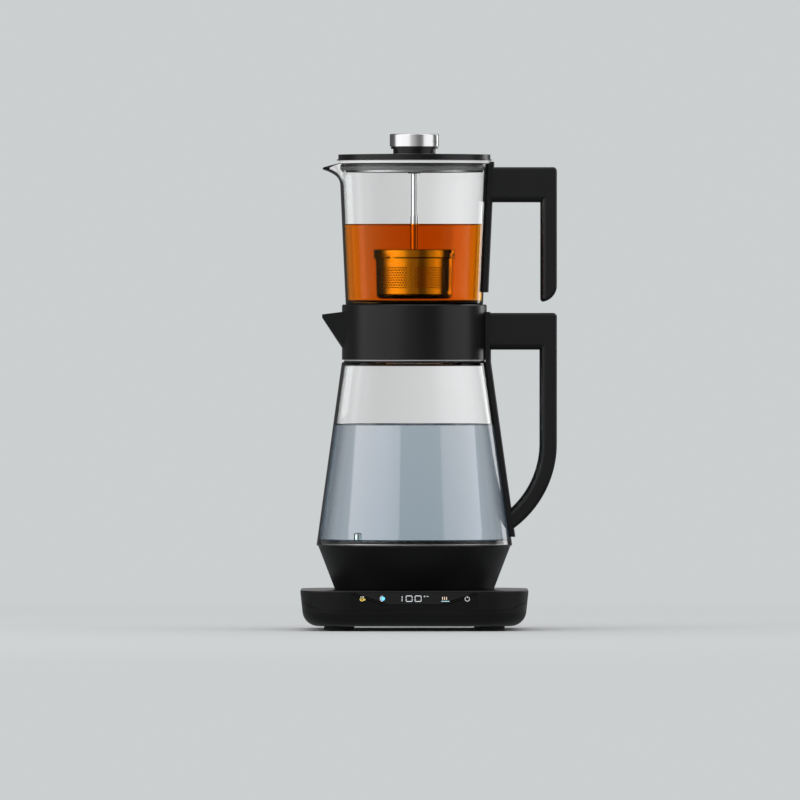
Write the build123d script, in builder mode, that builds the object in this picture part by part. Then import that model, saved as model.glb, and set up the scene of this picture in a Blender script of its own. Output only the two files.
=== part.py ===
"""Automatic tea maker: a mains power base, a glass kettle that stands on it, and a glass teapot with a
hanging infuser that stands on the kettle.

Millimetres. +Z is up from the table, +X points to the handles, -Y to the user. The Z axis is the common
axis of the base's connector, the kettle, the teapot, the lid and the infuser."""

import os
from math import atan2, cos, degrees, radians, sin

from build123d import *

# ---------------------------------------------------------------- fits
glue_gap = 0.1  # between a glass and what is bonded to it
seat_gap = 0.1  # round a piece that is pressed or screwed into a seat
turn_gap = 0.06  # radial, between pieces that turn in one another
lift_gap = 0.8  # between pieces that lift apart

# ---------------------------------------------------------------- screws
screw_radius = 1.5
screw_head_radius = 2.8
screw_head_height = 2.0
handle_screw_radius = 1.75
handle_screw_head_radius = 3.1
handle_screw_head_height = 1.8
handle_screw_bite = 15.0
handle_screw_margin = 7.5  # from the top and the underside of a handle's bar

# ---------------------------------------------------------------- power base
base_width = 173.0
base_depth = 173.0
base_corner = 36.0  # corner radius in plan, at the top
base_draft = 6.0  # degrees, the sides draw in towards the table
base_round = 12.0  # rounding between side and underside
base_height = 27.0  # underside to top
base_wall = 2.4
base_edge_round = 0.8

parting_height = 12.0  # joint of tray and cover above the underside, at the front
parting_half = 64.0  # half length of its level stretch
parting_radius = 38.0  # it then sweeps up to the sides
parting_sweep = 42.0  # degrees
groove_height = 0.4  # shadow line at the joint
groove_depth = 0.8

foot_inset = 29.5  # centre of a foot from the base's sides
foot_height = 3.5  # the part of a foot that shows
foot_radius = 11.4
foot_plug_radius = 8.5
foot_plug_height = 1.2
foot_chamfer = 0.6
post_radius = 4.6
tray_post_height = 9.0
screw_tip_gap = 1.6  # from the tip of a base screw to the cover's inside

panel_width = 96.0
panel_corner = 2.5
panel_thickness = 1.2
panel_drop = 1.2  # below the top of the base
panel_margin = 1.6  # above the joint of tray and cover
panel_ledge = 2.0
key_margin = 8.4  # from the end of the panel
key_pitch = 16.2
key_clearance = 0.6  # above and below a key's pad
display_width = 25.0
board_thickness = 1.6
display_board_setback = 9.0  # behind the front face
display_board_margin = 4.0  # from the end of the panel
display_board_headroom = 3.2
board_rib = 3.0
board_rib_height = 8.0

power_board_width = 42.0
power_board_inset = 42.5  # its middle before the rear side
power_board_lift = 3.0  # height of its stand-offs
power_board_margin = 6.4  # from the screw posts
standoff_radius = 3.0
relay_length = 19.0
relay_width = 15.5
relay_margin = 10.5  # from the end of the power board
relay_headroom = 3.6
terminal_length = 22.0
terminal_width = 12.0
terminal_margin = 23.0  # from the board's other end
terminal_headroom = 4.6
cord_hole_radius = 4.0

# ---------------------------------------------------------------- 360 degree connector
seat_depth = 3.0  # the kettle stands this deep in the cover
kettle_foot_radius = 59.2
plug_radius = 18.0
plug_height = 11.0  # above the seat floor
plug_root = 5.0  # below the seat plate
plug_flange = 6.0
plug_flange_height = 3.0
plug_top_round = 1.5
pin_radius = 2.0
slot_radii = (8.2, 13.4)  # middle radius of each contact slot
slot_width = 2.6
slot_depth = 9.0
blade_thickness = 0.8
blade_clearance = 1.8  # over a slot's floor
contact_height = 1.0
coupler_wall = 8.2
coupler_roof = 3.0
coupler_flange = 4.0
coupler_flange_height = 2.4

# ---------------------------------------------------------------- kettle
housing_height = 36.0
housing_wall = 2.6
housing_rim_width = 6.0
housing_rim_height = 2.6
floor_lift = 1.0  # housing floor above the rim the kettle stands on
floor_thickness = 2.4
floor_post_radius = 4.0
floor_post_circle = 46.0
floor_post_height = 12.0
floor_rib = 2.0
floor_screw_length = 9.0

kettle_base_radius = 74.5
kettle_top_radius = 55.1
kettle_glass_height = 140.0  # base edge to shoulder
kettle_glass_wall = 2.4
glass_overhang = 1.5  # the glass stands out over the housing
kettle_base_round = 1.2
neck_step = 4.5  # from the glass's shoulder in to its neck
neck_height = 10.5
shoulder_round = 1.6

plate_seal_width = 2.5
plate_lift = 4.5  # top of the heating plate above the glass's base edge
plate_thickness = 1.0
spreader_margin = 11.4  # from the plate's edge
spreader_thickness = 3.0
element_circle = 46.0
element_radius = 3.6
element_flat = 0.8  # the sheath is pressed flat where it is brazed on
element_gap = 64.0  # degrees, the ring is open round the probe
terminal_drop = 9.0
terminal_radius = 1.6
probe_circle = 46.8
probe_angle = 208.0
probe_radius = 2.95
probe_height = 5.8
probe_tail = 9.0
probe_collar_radius = 4.6
probe_collar_height = 1.0

neck_seal_width = 1.2
collar_wall = 3.0
collar_gap = 1.5  # between glass shoulder and collar
collar_height = 42.0
collar_chamfer = 0.8
clamp_ledge = 3.6
clamp_thickness = 2.0
pot_seat_rim = 2.0
pot_seat_width = 8.0
pot_seat_depth = 0.8
pot_seat_thickness = 3.0

spout_reach = 70.1
spout_drop = 5.6  # its top edge below the top of the collar, at the collar
spout_tip_drop = 7.5
spout_height = 27.4  # at the collar
spout_tip_height = 2.6
spout_half = 19.6  # half its width at the top, where the collar is widest
spout_foot_half = 12.0  # and at its foot
spout_tip_half = 3.4
spout_tip_foot_half = 1.4
spout_wall = 2.2
spout_root = 9.0  # how far it is drawn in behind the collar's face
spout_round = 10.0  # of its lower corners at the root
spout_tip_round = 1.1

strap_thickness = 3.2
strap_inset = 1.0  # narrower than the handle on each side
strap_drop = 5.6  # below the top of the collar
strap_lift = 7.0  # above the glass's base edge
strap_end_round = 1.4

handle_reach = 108.3
handle_width = 24.0
handle_inner_round = 4.6  # edges towards the hand
handle_outer_round = 2.2
handle_corner = 3.0  # top corner in side view
handle_inner_corner = 1.5
kettle_bar_drop = 6.4  # top of the bar below the top of the collar
kettle_bar_height = 28.0
grip_thickness = 13.2
grip_bend_radius = 80.0
grip_bend_height = 78.0  # centre of the bend above the glass's base edge
foot_screw_lift = 22.0  # above the glass's base edge

# ---------------------------------------------------------------- teapot
pot_rim_radius = 57.1
pot_height = 108.1
pot_wall = 2.3
pot_floor = 3.4
pot_heel = 2.0

lip_reach = 71.4
lip_rim_drop = 4.4  # the lip's edge falls this far at its tip
lip_wall = 2.0
lip_root = (9.1, 15.5, 24.0)  # behind the rim, half width, depth
lip_throat = (3.9, 10.5, 12.4)  # before the rim, half width, depth
lip_tip = (3.2, 6.2)  # half width, depth

pot_strap_thickness = 3.6
pot_strap_inset = 2.0
pot_strap_rise = 1.2  # above the rim
pot_strap_lift = 10.0  # above the teapot's foot
pot_strap_end_round = 0.7
pot_bar_drop = 3.0  # top of the bar below the rim
pot_bar_height = 26.7
pot_grip_length = 75.7  # below the bar
pot_grip_thickness = 12.6

# ---------------------------------------------------------------- lid
seal_thickness = 2.1
seal_sleeve = 1.6
seal_sleeve_depth = 5.5
lid_overhang = 0.7  # over the teapot's rim
lid_height = 5.2
lid_lip = 1.1
lid_lip_height = 0.8
lid_dome = 0.7
lid_wall = 2.0
plug_cup_depth = 9.0
plug_cup_wall = 1.0

knob_neck_radius = 16.1
knob_neck_height = 3.6
knob_flange = 1.7
knob_flange_height = 1.9
knob_radius = 18.7
knob_height = 9.5
knob_round = 1.0
knob_skin = 1.0
nut_radius = 4.0
nut_height = 5.0
stud_radius = 2.0

# ---------------------------------------------------------------- infuser
rod_radius = 2.5
rod_flange_radius = 4.8
rod_flange_height = 0.8
rod_tail = 3.8  # below the cross pin
sleeve_wall = 0.44
sleeve_length = 25.3
cross_pin_radius = 0.7
cross_pin_drop = 4.9  # below the top of the sleeve
sleeve_slot_width = 1.6
rod_twist = 45.0  # degrees from closed to open
sleeve_slot_margin = 22.0  # degrees, half the pin's width and a little more

cap_radius = 30.6
cap_height = 6.9
cap_wall = 0.7
cap_lip = 0.8
cap_lip_height = 0.7
basket_clearance = 0.8  # inside the cap's skirt
basket_taper = 0.8  # how much the basket narrows to its foot
basket_wall = 0.7
basket_depth = 36.6
basket_round = 3.4
basket_inset = 1.2  # rim below the cap's top
basket_floor_gap = 1.4  # above the teapot's floor
peg_count = 3
peg_start = 90.0  # degrees
peg_width = 3.0
peg_height = 1.6
peg_drop = 3.0  # below the basket's rim
peg_slot_gap = 0.3
basket_twist = 25.0  # degrees from closed to open
perforation_rows = 5
perforations_per_row = 30
perforation_radius = 1.05
perforation_lift = 8.8  # lowest row above the basket's foot
perforation_drop = 14.2  # highest row below the basket's rim

# ---------------------------------------------------------------- sizes that follow
housing_top_radius = kettle_base_radius - glass_overhang
plate_radius = kettle_base_radius - kettle_glass_wall - glue_gap - plate_seal_width - seat_gap
neck_radius = kettle_top_radius - neck_step
collar_inner = neck_radius + glue_gap + neck_seal_width + seat_gap
collar_radius = collar_inner + collar_wall
coupler_radius = plug_radius + lift_gap + coupler_wall
pot_foot_radius = collar_radius - pot_seat_rim - lift_gap
lid_radius = pot_rim_radius + lid_overhang
sleeve_radius = rod_radius + turn_gap + sleeve_wall
basket_radius = cap_radius - cap_wall - basket_clearance
basket_foot_radius = basket_radius - basket_taper
strap_width = handle_width - 2 * strap_inset
pot_strap_width = handle_width - 2 * pot_strap_inset

base_top = foot_height + base_height
parting_z = foot_height + parting_height
tray_floor_z = foot_height + base_wall
cover_under_z = base_top - base_wall
seat_z = base_top - seat_depth
plate_under_z = seat_z - base_wall
plug_top_z = seat_z + plug_height
coupler_roof_z = plug_top_z + lift_gap
kettle_base_z = seat_z + housing_height
shoulder_z = kettle_base_z + kettle_glass_height
collar_base_z = shoulder_z + collar_gap
collar_top_z = collar_base_z + collar_height
spout_z = collar_top_z - spout_drop
kettle_bar_z = collar_top_z - kettle_bar_drop
pot_foot_z = collar_top_z - pot_seat_depth
rim_z = pot_foot_z + pot_height
lid_z = rim_z + seal_thickness
plate_z = kettle_base_z + plate_lift
pot_bar_z = rim_z - pot_bar_drop
basket_z = pot_foot_z + pot_floor + basket_floor_gap
cap_z = basket_z + basket_depth + basket_inset
sleeve_top_z = cap_z + sleeve_length
rod_top_z = lid_z - plug_cup_depth

rising = (Align.CENTER, Align.CENTER, Align.MIN)
hanging = (Align.CENTER, Align.CENTER, Align.MAX)


def kettle_cone(z):
    """Outer radius of the kettle glass at height z."""
    share = (z - kettle_base_z) / kettle_glass_height
    return kettle_base_radius + share * (kettle_top_radius - kettle_base_radius)


def pot_cone(z):
    """Outer radius of the teapot glass at height z."""
    return pot_foot_radius + (z - pot_foot_z) / pot_height * (pot_rim_radius - pot_foot_radius)


def housing_cone(z):
    """Outer radius of the kettle's lower housing at height z."""
    return kettle_foot_radius + (z - seat_z) / housing_height * (housing_top_radius - kettle_foot_radius)


def round_about(radius, count, start=0.0):
    """Centres of count equal places round the Z axis, as (x, y)."""
    angles = [radians(start + n * 360 / count) for n in range(count)]
    return [(radius * cos(a), radius * sin(a)) for a in angles]


def upright(angle):
    """The plane through the Z axis that faces angle degrees from +X, its own y axis pointing up."""
    a = radians(angle)
    return Plane(origin=(0, 0, 0), x_dir=(cos(a), sin(a), 0), z_dir=(sin(a), -cos(a), 0))


def outward(angle, radius, height):
    """A plane square to the radius at angle, that far out and up, its own y axis pointing up."""
    a = radians(angle)
    origin = (radius * cos(a), radius * sin(a), height)
    return Plane(origin=origin, x_dir=(-sin(a), cos(a), 0), z_dir=(cos(a), sin(a), 0))


def half_section(*points):
    """A closed half section on the XZ plane from (radius, height) points, ready to be turned about Z."""
    with BuildSketch(Plane.XZ) as section:
        with BuildLine():
            Polyline(*points, close=True)
        make_face()
    return section.sketch


def band(inner, outer, low, high):
    """Half section of a plain ring."""
    return half_section((inner, low), (outer, low), (outer, high), (inner, high))


def sector(inner, outer, low, high, start, sweep):
    """A ring segment about Z that begins at the angle start and runs sweep degrees anticlockwise."""
    with BuildPart() as segment:
        with BuildSketch(upright(start)):
            with BuildLine():
                Polyline((inner, low), (outer, low), (outer, high), (inner, high), close=True)
            make_face()
        revolve(axis=Axis.Z, revolution_arc=sweep)
    return segment.part


def rods_along_x(radius, start, end, heights):
    """Round bars along X at y = 0, for screws through a handle's bar and for their holes."""
    with BuildPart() as rods:
        with BuildSketch(Plane.YZ.offset(start)):
            with Locations(*[(0, z) for z in heights]):
                Circle(radius)
        extrude(amount=end - start)
    return rods.part


def base_form(inset):
    """The power base's outer form drawn in by inset: drafted sides on a rounded square, round below."""
    with BuildPart() as form:
        with BuildSketch(Plane.XY.offset(base_top - inset)):
            RectangleRounded(base_width - 2 * inset, base_depth - 2 * inset, base_corner - inset)
        extrude(amount=-(base_height - 2 * inset), taper=base_draft)
        fillet(form.edges().group_by(Axis.Z)[0], base_round - inset)
    return form.part


def panel_block(grow, skin):
    """The panel's outline grown by grow, run forward from a surface skin deep under the base's form."""
    with BuildPart() as block:
        with BuildSketch(Plane.XZ.offset(base_depth / 4)):
            with Locations((0, panel_z)):
                RectangleRounded(panel_width + 2 * grow, panel_height + 2 * grow, panel_corner + grow)
        extrude(amount=base_depth / 2)
        add(base_form(skin), mode=Mode.SUBTRACT)
    return block.part


def above_parting(lift):
    """Everything above the joint of tray and cover, raised by lift. The joint sweeps up at both sides."""
    level = parting_z + lift
    with BuildPart() as upper:
        with BuildSketch(Plane.XZ):
            with BuildLine():
                Line((0, level), (parting_half, level))
                rise = JernArc((parting_half, level), (1, 0), parting_radius, parting_sweep)
                beyond = (base_width, 2 * base_top)
                Polyline(rise @ 1, (base_width, (rise @ 1).Y), beyond, (0, 2 * base_top))
                Line((0, 2 * base_top), (0, level))
            make_face()
            mirror(about=Plane.YZ)
        extrude(amount=base_depth, both=True)
    return upper.part


def finish(piece, name):
    """Names a finished piece and writes its file."""
    piece.part.label = name
    export_step(piece.part, f"parts/{name}.step")


os.makedirs("parts", exist_ok=True)

# ================================================================ power base
foot_x = base_width / 2 - foot_inset
foot_y = base_depth / 2 - foot_inset
foot_places = [(-foot_x, -foot_y), (foot_x, -foot_y), (-foot_x, foot_y), (foot_x, foot_y)]
tray_post_z = foot_height + tray_post_height
screw_seat_z = foot_height + foot_plug_height + screw_head_height
screw_tip_z = cover_under_z - screw_tip_gap

panel_height = base_height - parting_height - panel_drop - panel_margin
panel_z = base_top - panel_drop - panel_height / 2
window_height = panel_height - 2 * panel_ledge

display_board_y = -base_depth / 2 + display_board_setback
display_board_width = panel_width - 2 * (panel_ledge + display_board_margin)
display_board_height = cover_under_z - tray_floor_z - display_board_headroom
display_board_centre = (0, display_board_y + board_thickness / 2, tray_floor_z)

power_board_y = base_depth / 2 - power_board_inset
power_board_length = 2 * (foot_x - post_radius - power_board_margin)
power_board_z = tray_floor_z + power_board_lift
power_board_top = power_board_z + board_thickness
power_board_half = power_board_length / 2
relay_x = power_board_half - relay_margin - relay_length / 2
relay_height = plate_under_z - relay_headroom - power_board_top
terminal_x = terminal_margin + terminal_length / 2 - power_board_half
terminal_height = plate_under_z - terminal_headroom - power_board_top
standoff_places = [
    (x, power_board_y + y)
    for y in (standoff_radius - power_board_width / 2, power_board_width / 2 - standoff_radius)
    for x in (standoff_radius - power_board_half, power_board_half - standoff_radius)
]

# Tray: the lower shell, with pockets for the feet, screw posts, board stand-offs and display ribs.
with BuildPart() as base_tray:
    add(base_form(0))
    add(base_form(base_wall), mode=Mode.SUBTRACT)
    add(above_parting(0), mode=Mode.SUBTRACT)
    with Locations(*[(x, y, foot_height) for x, y in foot_places]):
        Cylinder(post_radius, tray_post_height, align=rising)
        Cylinder(foot_plug_radius + seat_gap, foot_plug_height, align=rising, mode=Mode.SUBTRACT)
        Cylinder(screw_radius + seat_gap, tray_post_height, align=rising, mode=Mode.SUBTRACT)
    with Locations(*[(x, y, foot_height + foot_plug_height) for x, y in foot_places]):
        Cylinder(screw_head_radius + seat_gap, screw_head_height, align=rising, mode=Mode.SUBTRACT)
    with Locations(*[(x, y, tray_floor_z) for x, y in standoff_places]):
        Cylinder(standoff_radius, power_board_lift, align=rising)
    for side in (-1, 1):
        with Locations((side * display_board_width / 2, display_board_centre[1], tray_floor_z)):
            Box(2 * board_rib, board_thickness + 2 * board_rib, board_rib_height, align=rising)
    with Locations(display_board_centre):
        slot = (display_board_width + 2 * seat_gap, board_thickness + 2 * seat_gap, board_rib_height)
        Box(*slot, align=rising, mode=Mode.SUBTRACT)
finish(base_tray, "base_tray")

# Cover: the upper shell with the kettle's seat, the control panel's window and the cord's hole.
seat_radius = housing_cone(base_top) + lift_gap
with BuildPart() as base_cover:
    add(base_form(0))
    add(base_form(base_wall), mode=Mode.SUBTRACT)
    add(above_parting(0), mode=Mode.INTERSECT)
    with BuildPart(mode=Mode.PRIVATE) as shadow_line:
        add(base_form(0))
        add(base_form(groove_depth), mode=Mode.SUBTRACT)
        add(above_parting(groove_height), mode=Mode.SUBTRACT)
    add(shadow_line.part, mode=Mode.SUBTRACT)
    with Locations((0, 0, plate_under_z)):
        Cylinder(seat_radius + base_wall, seat_depth, align=rising)
    with Locations(*[(x, y, tray_post_z) for x, y in foot_places]):
        Cylinder(post_radius, cover_under_z - tray_post_z, align=rising)
        Cylinder(screw_radius, screw_tip_z - tray_post_z, align=rising, mode=Mode.SUBTRACT)
    with Locations((0, 0, seat_z)):
        Cylinder(seat_radius, 2 * seat_depth, align=rising, mode=Mode.SUBTRACT)
    with Locations((0, 0, plate_under_z)):
        Cylinder(plug_radius + seat_gap, base_wall, align=rising, mode=Mode.SUBTRACT)
    fillet(base_cover.edges().group_by(Axis.Z)[-1], base_edge_round)
    add(panel_block(seat_gap, panel_thickness), mode=Mode.SUBTRACT)
    with BuildSketch(Plane.XZ.offset(base_depth / 4)):
        with Locations((0, panel_z)):
            Rectangle(panel_width - 2 * panel_ledge, window_height)
    extrude(amount=base_depth / 2, mode=Mode.SUBTRACT)
    with BuildSketch(Plane.XZ.offset(-base_depth / 4)):
        with Locations((0, (parting_z + cover_under_z) / 2)):
            Circle(cord_hole_radius)
    extrude(amount=-base_depth / 2, mode=Mode.SUBTRACT)
finish(base_cover, "base_cover")

# Control panel: one glossy window in front of the display and the touch keys.
with BuildPart() as control_panel:
    add(panel_block(0, panel_thickness))
    add(base_form(0), mode=Mode.INTERSECT)
finish(control_panel, "control_panel")

# Display board: stands in the tray's ribs and carries the display and the touch pads.
with BuildPart() as display_board:
    with Locations(display_board_centre):
        Box(display_board_width, board_thickness, display_board_height, align=rising)
finish(display_board, "display_board")

with BuildPart() as led_display:
    with BuildSketch(Plane.XZ.offset(-display_board_y)):
        with Locations((0, panel_z)):
            Rectangle(display_width, window_height - 2 * seat_gap)
    extrude(amount=display_board_setback)
    add(base_form(panel_thickness), mode=Mode.INTERSECT)
finish(led_display, "led_display")

key_end = panel_width / 2 - key_margin
with BuildPart() as touch_pads:
    with BuildSketch(Plane.XZ.offset(-display_board_y)):
        with Locations(*[(side * (key_end - n * key_pitch), panel_z) for side in (-1, 1) for n in (0, 1)]):
            Circle(window_height / 2 - key_clearance)
    extrude(amount=display_board_setback)
    add(base_form(panel_thickness), mode=Mode.INTERSECT)
finish(touch_pads, "touch_pads")

# Power board with its relay and the mains terminal block.
with BuildPart() as power_board:
    with Locations((0, power_board_y, power_board_z)):
        Box(power_board_length, power_board_width, board_thickness, align=rising)
finish(power_board, "power_board")

with BuildPart() as heater_relay:
    with Locations((relay_x, power_board_y, power_board_top)):
        Box(relay_length, relay_width, relay_height, align=rising)
finish(heater_relay, "heater_relay")

with BuildPart() as mains_terminal:
    with Locations((terminal_x, power_board_y, power_board_top)):
        Box(terminal_length, terminal_width, terminal_height, align=rising)
    chamfer(mains_terminal.edges().group_by(Axis.Z)[-1], board_thickness / 2)
finish(mains_terminal, "mains_terminal")

# Rubber feet, each with a plug in the tray that hides a screw.
for (x, y), name in zip(foot_places, ("front_left", "front_right", "rear_left", "rear_right")):
    with BuildPart() as foot:
        with Locations((x, y, 0)):
            Cylinder(foot_radius, foot_height, align=rising)
        chamfer(foot.edges().group_by(Axis.Z)[0], foot_chamfer)
        with Locations((x, y, foot_height)):
            Cylinder(foot_plug_radius, foot_plug_height, align=rising)
    finish(foot, f"{name}_foot")

with BuildPart() as base_screws:
    with Locations(*[(x, y, screw_seat_z) for x, y in foot_places]):
        Cylinder(screw_head_radius, screw_head_height, align=hanging)
        Cylinder(screw_radius, screw_tip_z - screw_seat_z, align=rising)
finish(base_screws, "base_screws")

# ================================================================ 360 degree connector
# Base half: a round plug with two ring slots and a pin hole, flanged under the cover's seat.
slot_floor_z = plug_top_z - slot_depth
pin_hole_radius = pin_radius + blade_thickness
with BuildPart() as base_connector:
    with Locations((0, 0, plate_under_z - plug_root)):
        Cylinder(plug_radius, plug_top_z - plate_under_z + plug_root, align=rising)
    fillet(base_connector.edges().group_by(Axis.Z)[-1], plug_top_round)
    with Locations((0, 0, plate_under_z)):
        Cylinder(plug_radius + plug_flange, plug_flange_height, align=hanging)
    with Locations((0, 0, plug_top_z)):
        Cylinder(pin_hole_radius, slot_depth, align=hanging, mode=Mode.SUBTRACT)
    for radius in slot_radii:
        ring_slot = band(radius - slot_width / 2, radius + slot_width / 2, slot_floor_z, plug_top_z)
        revolve(ring_slot, axis=Axis.Z, mode=Mode.SUBTRACT)
finish(base_connector, "base_connector")

with BuildPart() as base_contacts:
    for radius in slot_radii:
        inner, outer = radius - slot_width / 2, radius + slot_width / 2
        revolve(band(inner, outer, slot_floor_z, slot_floor_z + contact_height), axis=Axis.Z)
    with Locations((0, 0, slot_floor_z)):
        Cylinder(pin_hole_radius, contact_height, align=rising)
finish(base_contacts, "base_contacts")

# Kettle half: a cup over the plug, with a pin and two ring blades that stand in the slots.
floor_z = seat_z + floor_lift
floor_top_z = floor_z + floor_thickness
with BuildPart() as kettle_coupler:
    with Locations((0, 0, floor_z)):
        Cylinder(coupler_radius, coupler_roof_z + coupler_roof - floor_z, align=rising)
    with Locations((0, 0, floor_top_z + turn_gap)):
        Cylinder(coupler_radius + coupler_flange, coupler_flange_height, align=rising)
    with Locations((0, 0, coupler_roof_z)):
        Cylinder(plug_radius + lift_gap, coupler_roof_z, align=hanging, mode=Mode.SUBTRACT)
finish(kettle_coupler, "kettle_coupler")

blade_z = slot_floor_z + blade_clearance
with BuildPart() as coupler_blades:
    for radius in slot_radii:
        inner, outer = radius - blade_thickness / 2, radius + blade_thickness / 2
        revolve(band(inner, outer, blade_z, coupler_roof_z), axis=Axis.Z)
    with Locations((0, 0, blade_z)):
        Cylinder(pin_radius, coupler_roof_z - blade_z, align=rising)
finish(coupler_blades, "coupler_blades")

# ================================================================ kettle
floor_post_places = round_about(floor_post_circle, 3, 90)
rim_under_z = kettle_base_z - housing_rim_height
housing_inner_foot = kettle_foot_radius - housing_wall

# Lower housing: a funnel-shaped shell with an inward rim for the glass and three ribbed screw posts.
with BuildPart() as housing_posts:
    with Locations(*[(x, y, floor_top_z) for x, y in floor_post_places]):
        Cylinder(floor_post_radius, floor_post_height, align=rising)
    for x, y in floor_post_places:
        with Locations(Location((x, y, floor_top_z), (0, 0, degrees(atan2(y, x))))):
            rib = (housing_top_radius - floor_post_circle, floor_rib, floor_post_height)
            Box(*rib, align=(Align.MIN, Align.CENTER, Align.MIN))
    within = half_section(
        (0, seat_z),
        (kettle_foot_radius - housing_wall / 2, seat_z),
        (housing_top_radius - housing_wall / 2, kettle_base_z),
        (0, kettle_base_z),
    )
    revolve(within, axis=Axis.Z, mode=Mode.INTERSECT)
    with Locations(*[(x, y, floor_z) for x, y in floor_post_places]):
        Cylinder(screw_radius, floor_screw_length, align=rising, mode=Mode.SUBTRACT)
with BuildPart() as lower_housing:
    shell = half_section(
        (kettle_foot_radius, seat_z),
        (housing_top_radius, kettle_base_z),
        (housing_top_radius - housing_rim_width, kettle_base_z),
        (housing_top_radius - housing_rim_width, rim_under_z),
        (housing_cone(rim_under_z) - housing_wall, rim_under_z),
        (housing_inner_foot, seat_z),
    )
    revolve(shell, axis=Axis.Z)
    add(housing_posts.part)
finish(lower_housing, "lower_housing")

# Housing floor: closes the housing and holds the coupler, which turns in its middle hole.
with BuildPart() as housing_floor:
    disc = half_section(
        (coupler_radius + turn_gap, floor_z),
        (housing_cone(floor_z) - housing_wall - seat_gap, floor_z),
        (housing_cone(floor_top_z) - housing_wall - seat_gap, floor_top_z),
        (coupler_radius + turn_gap, floor_top_z),
    )
    revolve(disc, axis=Axis.Z)
    with Locations(*[(x, y, floor_z) for x, y in floor_post_places]):
        Cylinder(screw_radius + seat_gap, floor_thickness, align=rising, mode=Mode.SUBTRACT)
finish(housing_floor, "housing_floor")

with BuildPart() as housing_screws:
    with Locations(*[(x, y, floor_z) for x, y in floor_post_places]):
        Cylinder(screw_head_radius, floor_lift - seat_gap, align=hanging)
        Cylinder(screw_radius, floor_screw_length, align=rising)
finish(housing_screws, "housing_screws")

# Kettle glass: an open cone with a rolled shoulder and a short neck.
neck_top_z = shoulder_z + neck_height
inner_shoulder_z = shoulder_z - kettle_glass_wall
with BuildPart() as kettle_glass:
    with BuildSketch(Plane.XZ) as bottle:
        with BuildLine():
            Polyline(
                (kettle_base_radius - kettle_glass_wall, kettle_base_z),
                (kettle_base_radius, kettle_base_z),
                (kettle_top_radius, shoulder_z),
                (neck_radius, shoulder_z),
                (neck_radius, neck_top_z),
                (neck_radius - kettle_glass_wall, neck_top_z),
                (neck_radius - kettle_glass_wall, inner_shoulder_z),
                (kettle_cone(inner_shoulder_z) - kettle_glass_wall, inner_shoulder_z),
                close=True,
            )
        make_face()
        outermost = bottle.vertices().sort_by(Axis.X)[-1]
        fillet(outermost, kettle_base_round)
        shoulder = bottle.vertices().sort_by(Axis.Y).filter_by(lambda v: abs(v.Y - shoulder_z) < glue_gap)
        fillet(shoulder.sort_by(Axis.X)[-1], shoulder_round)
    revolve(axis=Axis.Z)
finish(kettle_glass, "kettle_glass")

# Heating plate: a pressed steel dish, lip down, sealed to the glass and heated from below.
probe_place = (probe_circle * cos(radians(probe_angle)), probe_circle * sin(radians(probe_angle)))
skirt_z = kettle_base_z + seat_gap
plate_under = plate_z - plate_thickness
with BuildPart() as heating_plate:
    dish = half_section(
        (0, plate_z),
        (plate_radius, plate_z),
        (plate_radius, skirt_z),
        (plate_radius - plate_thickness, skirt_z),
        (plate_radius - plate_thickness, plate_under),
        (0, plate_under),
    )
    revolve(dish, axis=Axis.Z)
    with Locations((*probe_place, plate_under)):
        Cylinder(probe_radius + seat_gap, plate_thickness, align=rising, mode=Mode.SUBTRACT)
finish(heating_plate, "heating_plate")

# Plate seal: a silicone ring between the plate's skirt and the glass, standing on the housing's rim.
with BuildPart() as plate_seal:
    to_glass = kettle_glass_wall + glue_gap
    wedge = half_section(
        (plate_radius + seat_gap, kettle_base_z),
        (kettle_cone(kettle_base_z) - to_glass, kettle_base_z),
        (kettle_cone(plate_under) - to_glass, plate_under),
        (plate_radius + seat_gap, plate_under),
    )
    revolve(wedge, axis=Axis.Z)
finish(plate_seal, "plate_seal")

# Heat spreader and the sheathed ring element brazed under it, open where the probe stands.
spreader_z = plate_under - spreader_thickness
with BuildPart() as heat_spreader:
    with Locations((0, 0, spreader_z)):
        Cylinder(plate_radius - spreader_margin, spreader_thickness, align=rising)
    with Locations((*probe_place, spreader_z)):
        Cylinder(probe_collar_radius + seat_gap, spreader_thickness, align=rising, mode=Mode.SUBTRACT)
finish(heat_spreader, "heat_spreader")

element_z = spreader_z - element_radius + element_flat
element_start = probe_angle + element_gap / 2
element_arc = 360 - element_gap
with BuildPart() as heating_element:
    with BuildSketch(upright(element_start)):
        with Locations((element_circle, element_z)):
            Circle(element_radius)
        with Locations((element_circle, spreader_z + element_radius)):
            Rectangle(2 * element_radius, 2 * element_radius, mode=Mode.SUBTRACT)
    revolve(axis=Axis.Z, revolution_arc=element_arc)
    ends = [radians(element_start), radians(element_start + element_arc)]
    with Locations(*[(element_circle * cos(a), element_circle * sin(a), element_z) for a in ends]):
        Cylinder(terminal_radius, element_radius + terminal_drop, align=hanging)
finish(heating_element, "heating_element")

# Temperature probe: a steel pin through the plate, held by a collar below it.
with BuildPart() as temperature_probe:
    with Locations((*probe_place, plate_z - probe_tail)):
        Cylinder(probe_radius, probe_tail + probe_height, align=rising)
    fillet(temperature_probe.edges().group_by(Axis.Z)[-1], probe_radius * 0.4)
    with Locations((*probe_place, plate_under)):
        Cylinder(probe_collar_radius, probe_collar_height, align=hanging)
finish(temperature_probe, "temperature_probe")

# Spout: a beak that widens from its tip to the collar, open above. Its edges are straight in the front
# and the top view, so sizes at the collar's face and at the tip give those of the root inside.
spout_foot_z = spout_z - spout_height
spout_tip_z = collar_top_z - spout_tip_drop
spout_root_x = collar_radius - spout_root


def toward_root(at_collar, at_tip):
    """A size of the beak at its root, run on in a straight line from the tip through the collar's face."""
    return at_collar + (at_collar - at_tip) * spout_root / (spout_reach - collar_radius)


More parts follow.
